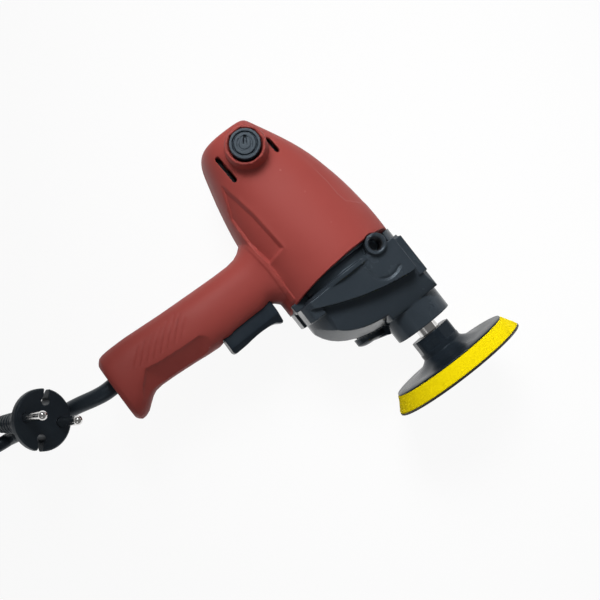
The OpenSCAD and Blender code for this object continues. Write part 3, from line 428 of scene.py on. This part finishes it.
def around(ends, values, weight):
    """For each point, the weighted sum of its neighbours' values."""
    a, b = ends
    total = np.empty_like(values)
    for axis in range(values.shape[1]):
        total[:, axis] = (np.bincount(a, values[b, axis] * weight, len(values))
                          + np.bincount(b, values[a, axis] * weight, len(values)))
    return total


def points_of(mesh):
    points = np.empty(len(mesh.vertices) * 3)
    mesh.vertices.foreach_get("co", points)
    return points.reshape(-1, 3)


def put_points(mesh, points):
    mesh.vertices.foreach_set("co", np.ascontiguousarray(points).ravel())
    mesh.update()


def facing(mesh):
    normals = np.empty(len(mesh.vertices) * 3)
    mesh.vertex_normals.foreach_get("vector", normals)
    return normals.reshape(-1, 3)


def ease(mesh, rounds, where=None, pull=0.5, push=-0.52):
    """Rounds a mesh's edges in place without shrinking it; where gives each point's share."""
    points, ends = points_of(mesh), neighbours(mesh)
    each = np.ones(len(ends[0]))
    share = np.maximum(around(ends, np.ones((len(points), 1)), each), 1)
    amount = 1 if where is None else where[:, None]
    for step in range(rounds * 2):
        stride = (pull if step % 2 == 0 else push) * amount
        points = points + stride * (around(ends, points, each) / share - points)
    put_points(mesh, points)


def even_light(mesh, rounds, degrees=11, hold=0):
    """Averages the directions that the light sees between neighbours that agree to about an angle.
    Where hold is 1, a point keeps its own."""
    normals, ends = facing(mesh), neighbours(mesh)
    scale = 1 - math.cos(math.radians(degrees))
    free = 1 - np.asarray(hold, float).reshape(-1, 1)
    for step in range(rounds):
        if step % 6 == 0:
            agree = np.einsum("ij,ij->i", normals[ends[0]], normals[ends[1]])
            weight = np.exp(-(1 - agree) / scale)
        normals = normals + free * around(ends, normals, weight)
        normals /= np.linalg.norm(normals, axis=1)[:, None]
    mesh.normals_split_custom_set_from_vertices(normals)


def skinned(name, source, voxel_mm, rounds):
    """A new object over a mesh, with even faces and eased edges."""
    obj = linked(name, source.copy())
    obj.data.materials.clear()
    skin = obj.modifiers.new("skin", "REMESH")
    skin.mode, skin.voxel_size, skin.use_smooth_shade = "VOXEL", voxel_mm / 1000, True
    bpy.context.view_layer.update()
    mesh = bpy.data.meshes.new_from_object(obj.evaluated_get(bpy.context.evaluated_depsgraph_get()))
    obj.modifiers.clear()
    obj.data = mesh
    ease(mesh, rounds)
    mesh.polygons.foreach_set("use_smooth", [True] * len(mesh.polygons))
    return obj


def settle(obj, material, body, slot, *replaced):
    """Gives a piece its finish and its body, and hides the nodes it stands for; slot is not used."""
    obj.data.materials.clear()
    obj.data.materials.append(material)
    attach(obj, body)
    if replaced:
        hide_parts(*replaced)
    return obj


# %% [markdown]
# ## Drawing on a surface
# Recesses and lines are drawn in the tool's side view, in millimetres. The distance of each point from an
# outline or a line says how far it sinks or rises, with a soft edge.

# %% Drawing on a surface


def soft(values, low, high):
    """0 below low, 1 above high, smooth between."""
    t = np.clip((values - low) / (high - low), 0, 1)
    return t * t * (3 - 2 * t)


def from_line(xy, line):
    """Distance of points from a line of straight stretches."""
    nearest = np.full(len(xy), 1e9)
    for start, end in zip(np.asarray(line, float), np.asarray(line, float)[1:]):
        run = end - start
        along = np.clip((xy - start) @ run / (run @ run), 0, 1)
        nearest = np.minimum(nearest, np.linalg.norm(xy - start - along[:, None] * run, axis=1))
    return nearest


def inside(xy, outline):
    """Distance of points inside a closed outline; below zero outside it."""
    ring = [*outline, outline[0]]
    within = np.zeros(len(xy), bool)
    for (ax, ay), (bx, by) in zip(ring, ring[1:]):
        if ay != by:
            crosses = (ay > xy[:, 1]) != (by > xy[:, 1])
            within ^= crosses & (xy[:, 0] < ax + (bx - ax) / (by - ay) * (xy[:, 1] - ay))
    return np.where(within, 1, -1) * from_line(xy, ring)


# %% [markdown]
# ## The red housing
# Two moulded halves. The side of the barrel has a long sunk pocket above the handle, a raised lip along
# the barrel's lower edge, a shallow sunk panel along the top, and a brush boss with a rounded shoulder that
# flows into the barrel and a sunk ring round its cap. The handle has slanted grip lines and a flat facet on
# its finger side, and swells a little beside the trigger.

# %% Red housing
POCKET = [(-117.4, -41.2), (-96.6, -38.6), (-74.8, -37.4), (-73.2, -46.0), (-87.4, -47.6), (-102.4, -46.8)]
LIP = [(-106, -48.2), (-88, -49.2), (-71, -48.0), (-52, -48.2)]
TOP_PANEL = [(-120, -3.0), (-101, -0.4), (-88, 1.2), (-79.4, 1.3), (-74.2, 2.6), (-68.9, 9.6), (-66, 24),
             (-120, 24)]
FINGER_SIDE = [(-56.5, -88.5), (-62.5, -91.4), (-66.3, -95.6), (-67.2, -108), (-68.4, -119), (-69.6, -126.4),
               (-64.0, -132.2), (-56.6, -137.4), (-53.2, -141), (-50, -150), (-36, -150), (-36, -88)]
GRIP_PATCH = [(-83.5, -96), (-76, -94), (-69.8, -104), (-71, -124), (-73.5, -134), (-81.5, -126)]
POCKET_DEPTH, POCKET_RIM, LIP_RISE, PANEL_DEPTH = 1.6, 0.4, 0.9, 0.8
GRIP_PITCH, GRIP_DEPTH, GRIP_TURN = 2.9, 0.55, (0.737, 0.676)
FACET_Z, FACET_SLOPE, TOE_DROP, TOE_SLOPE = 15.6, 0.9, 1.4, 0.3
TRIGGER_SWELL = 1.3
BOSS_FOOT, BOSS_AXIS = np.array((-120, -19, 0)), np.array((-0.156, -0.0732, 0.985))
BOSS_R, BOSS_TOP, BOSS_SHOULDER, CAP_RING, RING_SINK = 10.5, 35.2, 1.5, 8.6, 1.8


def from_boss(place):
    """Height of points along the brush boss's axis, and their distance from it."""
    height = (place - BOSS_FOOT) @ BOSS_AXIS
    return height, np.linalg.norm(place - BOSS_FOOT - height[:, None] * BOSS_AXIS, axis=1)


def boss_cut(height, radius):
    """How far points lie above the boss's rounded shoulder and the ring sunk round its cap."""
    curve = np.clip(radius - (BOSS_R - BOSS_SHOULDER), 0, BOSS_SHOULDER)
    most = BOSS_TOP - BOSS_SHOULDER + np.sqrt(BOSS_SHOULDER ** 2 - curve ** 2)
    shoulder = (radius < BOSS_R + 1) & (radius > BOSS_R - BOSS_SHOULDER)
    ring = (radius < CAP_RING) & (height > BOSS_TOP - 3)
    over = np.where(shoulder, np.maximum(height - most, 0), 0)
    return over + np.where(ring, RING_SINK * soft(-radius, -CAP_RING, 0.3 - CAP_RING), 0)


def mould(mesh, side):
    """Draws the housing's mouldings on the outer face of one half; side is 1 for the near one, -1 for the
    far. Returns where the drawn edges are."""
    place = in_tool(points_of(mesh))
    place[:, 2] *= side
    xy = place[:, :2]
    outer = soft(facing(mesh)[:, 2] * side, 0.03, 0.25)
    fade = soft(xy[:, 0], -118, -92)
    pocket, panel, finger = inside(xy, POCKET), inside(xy, TOP_PANEL), inside(xy, FINGER_SIDE)
    lip, grip = from_line(xy, LIP), inside(xy, GRIP_PATCH)
    sink = POCKET_DEPTH * soft(pocket, -0.2, 0.9)
    sink -= POCKET_RIM * soft(pocket, -2.2, -0.6) * soft(-pocket, 0.1, 0.6)
    sink -= LIP_RISE * soft(-lip, -1.7, -0.7)
    sink += PANEL_DEPTH * fade * soft(panel, -0.3, 0.6)
    across = GRIP_TURN[0] * xy[:, 0] + GRIP_TURN[1] * xy[:, 1]
    sink += GRIP_DEPTH * soft(np.cos(2 * math.pi * across / GRIP_PITCH), 0.5, 0.95) * soft(grip, 0, 1.5)
    place[:, 2] -= sink * outer
    beside_trigger = soft(xy[:, 1], -88, -82) * soft(-xy[:, 1], 56, 62) * soft(xy[:, 0], -66, -59)
    place[:, 0] += TRIGGER_SWELL * beside_trigger
    toe = soft(-xy[:, 1], 124, 134)
    slant = FACET_Z - TOE_DROP * toe - (FACET_SLOPE + TOE_SLOPE * toe) * finger
    facet = np.where(finger > 0, np.maximum(slant, 2), 99)
    place[:, 2] = np.where(outer > 0.1, np.minimum(place[:, 2], facet), place[:, 2])
    height, radius = from_boss(place)
    place -= boss_cut(height, radius)[:, None] * BOSS_AXIS
    place[:, 2] *= side
    put_points(mesh, COLLAR_POINT + place / 1000)
    foot = soft(radius, BOSS_R - 1, BOSS_R + 0.6) * soft(-radius, -BOSS_R - 5, -BOSS_R - 3)
    foot *= soft(height, 20, 24)
    ring = soft(radius, CAP_RING - 0.9, CAP_RING - 0.4) * soft(-radius, -CAP_RING - 1.4, -CAP_RING - 0.8)
    ease(mesh, 7, np.maximum(foot * outer, 0.5 * ring * (height > BOSS_TOP - 3)), push=0)
    drawn = [soft(-np.abs(pocket), -1.8, -1.2), soft(-lip, -2.6, -2), fade * soft(-np.abs(panel), -1.5, -1),
             soft(-np.abs(finger), -1.2, -0.6), soft(grip, -0.5, 0.5)]
    return np.max(drawn, axis=0) * outer


for name, side in (("near_shell", 1), ("far_shell", -1)):
    piece = skinned(name + "_moulded", nodes[name].data, 0.55, 4)
    drawn = mould(piece.data, side)
    even_light(piece.data, 42, hold=drawn)
    settle(piece, red_moulding, "tool", "red_body", name)
    print(name, len(piece.data.polygons), "faces")

# %% [markdown]
# ## The gear head
# A die casting under thick paint, with a line round the pinion's place on each side. Its lower wall drops
# away in a steep band, which mirrors the pale floor, and a ledge runs along the upper edge of each plate. The
# knob under the nose has a domed end.

# %% Gear head
STEP_LINE = [(-46.5, -11.1), (-40.8, -10.9), (-36.1, -10.4), (-33.4, -9.0), (-31.6, -6.4), (-30.7, -3.3),
             (-31.2, 0.2), (-32.4, 3.2)]
STEP_DEPTH, PLATE_Z = 0.7, 24
NOSE = np.array(((-34, -49), (-15.5, -45), (-12.5, -16)))
BAND_FOOT, BAND_SLOPE, BAND_TOP_Y, LUG_LIFT = 1, 4.4, -15, 30
LEDGE_Y, LEDGE_Z, LEDGE_SLOPE, LEDGE_RUN = 9.8, 21.6, 0.3, (-44, -22)
KNOB_Y, KNOB_Z, KNOB_R, KNOB_END, KNOB_DOME, KNOB_SLOPE = -24.0, -13.0, 8.2, -8.8, 3.4, 0.3
KNOB_TOP_Y, COLLAR_CLEAR = KNOB_Y + 12, 18.8
nose_run = [tuple(NOSE[0] * (1 - t) ** 2 + NOSE[1] * 2 * t * (1 - t) + NOSE[2] * t * t)
            for t in np.linspace(0, 1, 15)]
LOWER_EDGE = [(-60, -49), *nose_run, (-12.5, 20), (-60, 20)]
head = skinned("gear_head_cast", nodes["gear_case"].data, 0.45, 3)
place = in_tool(points_of(head.data))
x, y, z = place.T
outward = np.abs(facing(head.data)[:, 2])
height = np.abs(z)
step = soft(-from_line(place[:, :2], STEP_LINE), -1.0, -0.4) * soft(outward, 0.6, 0.9)
height -= STEP_DEPTH * step * (height > PLATE_Z)
inward = inside(place[:, :2], LOWER_EDGE)
most = BAND_FOOT + BAND_SLOPE * np.maximum(inward, 0) + LUG_LIFT * soft(-x, 35, 38)
below = (y < BAND_TOP_Y) & (inward > -0.7)
height = np.where(below, np.minimum(height, most), height)
ledge = (y > LEDGE_Y) & (outward > 0.2) & (height > 15) & (x > LEDGE_RUN[0]) & (x < LEDGE_RUN[1])
height = np.where(ledge, np.maximum(height, LEDGE_Z - LEDGE_SLOPE * (y - LEDGE_Y)), height)
place[:, 2] = np.sign(z) * height
rim = np.clip(np.hypot(np.minimum(y - KNOB_Y, 0), z - KNOB_Z) / KNOB_R, 0, 1)
knob = (rim < 1) & (y < KNOB_TOP_Y) & (np.hypot(y, z) > COLLAR_CLEAR)
dome = KNOB_END + KNOB_SLOPE * np.maximum(y - KNOB_Y, 0) - KNOB_DOME * (1 - np.sqrt(1 - rim ** 2))
place[:, 0] = np.where(knob, np.minimum(x, dome), x)
put_points(head.data, COLLAR_POINT + place / 1000)
ease(head.data, 1)
even_light(head.data, 14, 7)
settle(head, black_casting, "tool", "black_cast", "gear_case")
print("gear head", len(head.data.polygons), "faces")

# %% [markdown]
# ## Gear cover, seal and vent shade sheets
# In the CAD case the space for the large gear breaks through the top in a narrow slot, and a thin arched
# cover closes the casting over it. A strip of black seal closes the gap between the housing's lower corner
# and the head, and a dark sheet lies deep in each vent slot as painted shade, so that the vents come out
# dark.
# None of these is in the CAD part.

# %% Gear cover, seal and vent shade sheets
COVER_RUN, COVER_R, COVER_HALF = (-50.5, -31.6), (14.95, 15.85), 52
SEAL_RUN, SEAL_Y, SEAL_HALF = (-49.6, -45.4), (-50.4, -41.0), 15.0
VENTS, VENT_W, SHADE_SHEET_Z = ((-130.6, -114.6, -35.0), (-123.2, -113.6, -9.2)), 2.3, (14.1, 19.0)


def ring_mesh(name, rings, closed=False):
    """A mesh over rings of points in the tool's millimetres. A ring of one point is a tip. closed joins the
    last ring to the first; otherwise the end rings are filled."""
    mesh = bpy.data.meshes.new(name)
    shape = bmesh.new()
    loops = [[shape.verts.new(at(*point)) for point in ring] for ring in rings]
    for first, second in zip(loops, loops[1:] + loops[:1] if closed else loops[1:]):
        count = max(len(first), len(second))
        for k in range(count):
            n = (k + 1) % count
            face = (first[k % len(first)], second[k % len(second)],
                    second[n % len(second)], first[n % len(first)])
            shape.faces.new(tuple(dict.fromkeys(face)))
    for end in () if closed else (loops[0], loops[-1]):
        if len(end) > 1:
            shape.faces.new(end)
    bmesh.ops.recalc_face_normals(shape, faces=shape.faces)
    shape.to_mesh(mesh)
    shape.free()
    mesh.polygons.foreach_set("use_smooth", [True] * len(mesh.polygons))
    return mesh


def oblong(across, along):
    """The corners of an oblong, in order, from its two spans."""
    return [(across[0], along[0]), (across[1], along[0]), (across[1], along[1]), (across[0], along[1])]


arch = [[(x, r * math.cos(math.radians(a)), r * math.sin(math.radians(a)))
         for x, r in oblong(COVER_RUN, COVER_R)] for a in np.linspace(-COVER_HALF, COVER_HALF, 40)]
cover = skinned("gear_cover_cast", ring_mesh("gear_cover", arch), 0.3, 2)
settle(cover, black_casting, "tool", "black_cast")
strip = [[(x, y, z) for y, z in oblong(SEAL_Y, (-SEAL_HALF, SEAL_HALF))] for x in SEAL_RUN]
seal = skinned("corner_seal_strip", ring_mesh("corner_seal", strip), 0.4, 3)
settle(seal, black_rubber, "tool", "black_rubber")
# Each vent gets a dark sheet of pile deep inside it: painted shade for the inside of the vent.
for x0, x1, y in VENTS:
    for side in (1, -1):
        outline = oblong((x0, x1), (y - VENT_W / 2, y + VENT_W / 2))
        name = f"vent_screen_{'near' if side > 0 else 'far'}_{round(-y)}"
        shade_sheet = linked(name, ring_mesh(name, [[(*point, side * z) for point in outline] for z in SHADE_SHEET_Z]))
        shade_sheet.data.polygons.foreach_set("use_smooth", [False] * len(shade_sheet.data.polygons))
        settle(shade_sheet, hook_pile, "tool", "black_plastic")
print("cover", len(cover.data.polygons), "faces")

# %% [markdown]
# ## Threads
# The two holes for a side handle have cut threads: fine steel ridges line each one, with a bare chamfer at
# its mouth.

# %% Threads
HOLE_X, HOLE_R, HOLE_TOP = -48.2, 3.4, 30.0
THREAD_PITCH, THREAD_DEPTH, THREAD_START, THREAD_COUNT = 1.25, 0.26, 1.2, 16
CHAMFER, HOLE_SIDES = 0.95, 40


def circle(sides):
    """The points of a circle of radius 1."""
    return [(math.cos(math.tau * k / sides), math.sin(math.tau * k / sides)) for k in range(sides)]


ridges = [(HOLE_TOP - THREAD_START - THREAD_PITCH * k / 2, HOLE_R - 0.04 - THREAD_DEPTH * (k % 2))
          for k in range(THREAD_COUNT)]
profile = [(HOLE_TOP - 0.05, HOLE_R + CHAMFER), *ridges, (ridges[-1][0], HOLE_R + 0.02),
           (HOLE_TOP - THREAD_START, HOLE_R + 0.02)]
for name, side in (("near_threads", 1), ("far_threads", -1)):
    rings = [[(HOLE_X + r * c, r * s, side * z) for c, s in circle(HOLE_SIDES)] for z, r in profile]
    threads = linked(name, ring_mesh(name, rings, closed=True))
    settle(threads, dull_steel, "tool", "screw_steel")
    print(name, len(threads.data.polygons), "faces")

# %% [markdown]
# ## Small mouldings
# The brush caps, the trigger, the backing plate and the plug get the same soft edges on a finer skin. The
# plate's rim is rounded down to the foam, and the inner ring of each cap is left as a faint line.

# %% Small mouldings
RIM_STARTS, RIM_R = 25.0, 33.3
INNER_RING, RING_DEPTH = (2.6, 4.3), 0.16


def round_rim(mesh):
    """Rounds the back of the plate's rim down to the foam."""
    place = in_tool(points_of(mesh))
    radius = np.hypot(place[:, 1], place[:, 2])
    rim = place[radius > RIM_STARTS]
    back, front = rim[:, 0].min(), rim[:, 0].max()
    turn = np.clip((radius - RIM_STARTS) / (RIM_R - RIM_STARTS), 0, 1)
    least = back + (front - back - 0.4) * (1 - np.sqrt(1 - turn ** 2 * 0.98))
    place[:, 0] = np.where(radius > RIM_STARTS, np.maximum(place[:, 0], least), place[:, 0])
    put_points(mesh, COLLAR_POINT + place / 1000)


def fill_ring(mesh):
    """Leaves the inner ring of each brush cap as a faint line."""
    place = in_tool(points_of(mesh))
    side = np.sign(place[:, 2])
    place[:, 2] *= side
    height, radius = from_boss(place)
    low = (radius > INNER_RING[0]) & (radius < INNER_RING[1]) & (height > height.max() - 1)
    lift = np.where(low, np.maximum(height.max() - RING_DEPTH - height, 0), 0)
    place += lift[:, None] * BOSS_AXIS
    place[:, 2] *= side
    put_points(mesh, COLLAR_POINT + place / 1000)


for name, voxel, rounds, material, body, slot in (
        ("brush_caps", 0.2, 1, black_moulding, "tool", "black_plastic"),
        ("trigger", 0.35, 3, black_moulding, "trigger_slide", "black_plastic"),
        ("backing_plate", 0.4, 3, plate_moulding, "spindle_set", "black_plastic"),
        ("plug_body", 0.35, 2, black_rubber, "tool", "black_rubber")):
    piece = skinned(name + "_moulded", nodes[name].data, voxel, rounds)
    if name == "backing_plate":
        round_rim(piece.data)
    if name == "brush_caps":
        fill_ring(piece.data)
    even_light(piece.data, 12, 9)
    settle(piece, material, body, slot, name)
    print(name, len(piece.data.polygons), "faces")

# %% [markdown]
# ## Pad
# The foam disc flares towards its face and its cut edge is a little uneven. The thin
# hook layer lies on its face.

# %% Pad
INNER_R, HOOK_R, HOOK_FACE_R = 4, 38.0, 37.6


def turned(name, profile, sides):
    """A piece turned round the spindle from (x, radius) points in the tool's millimetres."""
    rings = [[(x, radius * c, radius * s) for c, s in circle(sides)] if radius else [(x, 0, 0)]
             for x, radius in profile]
    return linked(name, ring_mesh(name, rings))


foam_box = in_tool(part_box("foam_pad"))
foam_back, foam_front = foam_box[:, 0]
foam_r = (foam_box[1][2] - foam_box[0][2]) / 2
profile = [(foam_back, 0), *((foam_back, r) for r in np.linspace(INNER_R, RIM_R - 0.5, 26))]
for share in np.linspace(0.03, 0.97, 18):
    profile.append((foam_back + share * (foam_front - foam_back), RIM_R + share * (foam_r - RIM_R)))
profile += [*((foam_front, r) for r in np.linspace(foam_r - 0.5, INNER_R, 26)), (foam_front, 0)]
foam = turned("foam_disc", profile, 320)
for vertex in foam.data.vertices:
    x, y, z = in_tool([vertex.co])[0]
    radius = math.hypot(y, z)
    if radius > RIM_R - 1 and foam_back + 0.1 < x < foam_front - 0.1:
        spot = Vector((x, y, z))
        rough = noise.noise(spot * 1.1) * 0.22 + noise.noise(spot * 0.25) * 0.25 - 0.2
        vertex.co += Vector((0, y, z)) / radius * rough / 1000
settle(foam, yellow_foam, "spindle_set", "yellow_foam", "foam_pad")
hook_back, hook_front = in_tool(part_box("hook_layer"))[:, 0]
hook = turned("hook_disc", [(hook_back, 0), *((hook_back, r) for r in np.linspace(INNER_R, HOOK_FACE_R, 20)),
                            (hook_back + 0.3, HOOK_R), (hook_front - 0.3, HOOK_R),
                            *((hook_front, r) for r in np.linspace(HOOK_FACE_R, INNER_R, 20)),
                            (hook_front, 0)], 240)
settle(hook, hook_pile, "spindle_set", "black_hook", "hook_layer")
print("foam", round(foam_back, 2), round(foam_front, 2), round(foam_r, 2))

# %% [markdown]
# ## Lead: its route
# The lead leaves the handle through a soft guard, dips under the plug and is put away as a flat coil just
# outside the picture. Its route repeats the CAD route, point for point, on a finer curve.

# %% Lead route
CORD_D, FLOOR_Z, HANDLE_END = 7.0, -38.2, -144.8
PLUG_DEPTH, RELIEF = 25, 21
TIE_T = 1.2
COIL_FIRST, COIL_LAST = -23.4, 60
COIL_STEP, COIL_IN = CORD_D + 0.5, 4 * CORD_D + 0.5


def unit(v):
    v = np.asarray(v, float)
    return v / np.linalg.norm(v)


def rounded(points, steps):
    """A smooth curve through points."""
    points = [np.asarray(p, float) for p in points]
    last = len(points) - 1
    curve = []
    for i in range(last):
        a, b, c, d = points[max(0, i - 1)], points[i], points[i + 1], points[min(last, i + 2)]
        for j in range(steps):
            t = j / steps
            curve.append(0.5 * (2 * b + (c - a) * t + (2 * a - 5 * b + 4 * c - d) * t ** 2
                                + (3 * b - a - 3 * c + d) * t ** 3))
    return curve + [points[last]]


guard_points = [(-73.5, HANDLE_END + 2.6, 0), (-73.5, HANDLE_END - 4, 0), (-74.6, -155, -1.8),
                (-77, -164, -6.5), (-79.2, -174, -13.5), (-81.8, -184, -21.5), (-84.0, -193, -28)]
guard_coarse = rounded(guard_points, 3)
guard_out = unit(guard_coarse[-1] - guard_coarse[-2])
guard_tip = guard_coarse[-1] + guard_out * CORD_D
plug_at = np.array((-81.2, -180.3, 8.0))
plug_out = unit((0.292, 0.46, 0.838))
plug_end = plug_at - plug_out * (PLUG_DEPTH + RELIEF)
coil_low = FLOOR_Z + CORD_D / 2 + TIE_T + 0.2
coil_at = np.array((-167.5, -263.1))
coil_angle = 7 * 360 + COIL_FIRST - COIL_LAST


def coil_point(angle):
    """A point of the coil: inwards in a lower layer, then up and outwards in a second one."""
    radius = COIL_IN + COIL_STEP / 360 * abs(angle - coil_angle / 2)
    t = min(1, max(0, (angle - coil_angle / 2) / 180 + 0.5))
    turn = math.radians(COIL_FIRST - angle)
    return np.array((coil_at[0] + radius * math.cos(turn), coil_at[1] + radius * math.sin(turn),
                     coil_low + t * t * (3 - 2 * t) * COIL_STEP))


coil_steps = math.ceil(coil_angle / 360 * 24)
coil_run = [coil_point(coil_angle * i / (coil_steps * 2)) for i in range(coil_steps * 2 + 1)]
coil_head = np.array((math.sin(math.radians(COIL_FIRST)), -math.cos(math.radians(COIL_FIRST)), 0))
coil_leave = unit(coil_point(coil_angle) - coil_point(coil_angle * (1 - 1 / coil_steps)))
coil_start, coil_end = coil_run[0] - coil_head * CORD_D, coil_run[-1] + coil_leave * CORD_D


def free_run(start, heading, points, end, arriving):
    """A stretch of lead that leaves and arrives in given directions."""
    return [start] + rounded([start + heading * CORD_D, *points, end - arriving * CORD_D], 8) + [end]


lead = free_run(guard_tip, guard_out, [(-87.6, -211.5, -34.2), (-90.6, -223, -34.8), (-96.4, -237, -34.4)],
                coil_start, coil_head)
tail = free_run(coil_end, coil_leave, [(-126, -222.6, -30.4), (-114, -223.6, -32.4), (-105, -219.6, -32)],
                plug_end, plug_out)
print("lead runs through", len(lead) + len(coil_run) + len(tail), "points")

# %% [markdown]
# ## Lead: one round tube
# Points closer than 0.4 mm are dropped, and the rest become one curve with a round section.

# %% Lead
CLOSEST = 0.0004
full = [at(*p) for p in [guard_tip - guard_out * 3] + lead + coil_run + tail]
route = full[:1]
for point in full[1:]:
    if (point - route[-1]).length > CLOSEST:
        route.append(point)
cord_curve = bpy.data.curves.new("mains_lead", "CURVE")
cord_curve.dimensions = "3D"
spline = cord_curve.splines.new("POLY")
spline.points.add(len(route) - 1)
for vertex, point in zip(spline.points, route):
    vertex.co = (*point, 1)
cord_curve.bevel_depth = CORD_D / 2000
cord_curve.bevel_resolution = 5
cord_curve.use_fill_caps = True
spline.use_smooth = True
cord = linked("mains_lead", cord_curve)
cord_curve.materials.append(black_rubber)
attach(cord, "tool")
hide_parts("cord_lead", "cord_coil", "cord_tail")

# %% [markdown]
# ## Guard and tie
# The guard is a plain soft sleeve that thins towards its end. The tie holds the coil together.

# %% Guard
GUARD_R, GUARD_TAPER, GUARD_LIP = 4.4, 0.5, 0.35


def hose(name, path, radii, sides):
    """A closed tube along a path, in the tool's millimetres."""
    rings = []
    for i, (point, radius) in enumerate(zip(path, radii)):
        heading = unit(path[min(i + 1, len(path) - 1)] - path[max(i - 1, 0)])
        side = unit(np.cross(heading, (0, 0, 1)))
        over = np.cross(heading, side)
        rings.append([point + radius * (side * c + over * s) for c, s in circle(sides)])
    return linked(name, ring_mesh(name, rings))


guard_run = rounded(guard_points, 10) + [guard_tip]
guard_radii = [GUARD_R - GUARD_TAPER * i / len(guard_run) for i in range(len(guard_run))]
guard_radii[-1] -= GUARD_LIP
guard = hose("cord_guard_sleeve", guard_run, guard_radii, 32)
settle(guard, black_rubber, "tool", "black_rubber", "cord_guard")
tie = skinned("coil_tie_band", nodes["coil_tie"].data, 0.3, 2)
settle(tie, tie_plastic, "tool", "tie_band", "coil_tie")
print("guard in", len(guard_run), "rings")

# %% [markdown]
# ## Trigger spring
# The spring stands on the switch; in the tool it gets shorter as the trigger goes in. Here it keeps the CAD
# solid's shape, in a mesh of its own.

# %% Trigger spring
coil = linked("trigger_spring_wound", nodes["trigger_spring"].data.copy())
settle(coil, bright_steel, "tool", "spring_steel", "trigger_spring")
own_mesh(coil)

# %% [markdown]
# ## Finishes for the CAD pieces that stay
# Turned and stamped metal pieces have their right shape already, so they keep their solids.

# %% Finishes for what stays
for material, names in (
        (bright_steel, "spindle plug_pins spindle_front_bearing motor_front_bearing motor_rear_bearing "
                       "armature_shaft spindle_gear brush_springs"),
        (dull_steel, "housing_screws gear_case_screws clamp_screws spindle_clip"),
        # The bearing plate shows only in the deep gap between the housing's mouth and the head. It takes the
        # black casting so that the gap comes out dark: painted shade.
        (black_casting, "bearing_plate"), (turned_brass, "spindle_rear_bush brush_tubes"),
        (black_moulding, "cooling_fan switch_body cord_clamp capacitor"),
        (black_rubber, "collar_seal inner_cord"), (iron_sheets, "armature_core stator_core"),
        (enamel_wire, "armature_windings commutator field_coils"), (pressed_carbon, "carbon_brushes")):
    for name in names.split():
        mesh = nodes[name].data
        mesh.materials.clear()
        mesh.materials.append(material)
shown = {n for n, o in nodes.items() if not o.hide_render}
print("CAD nodes shown", len(shown))
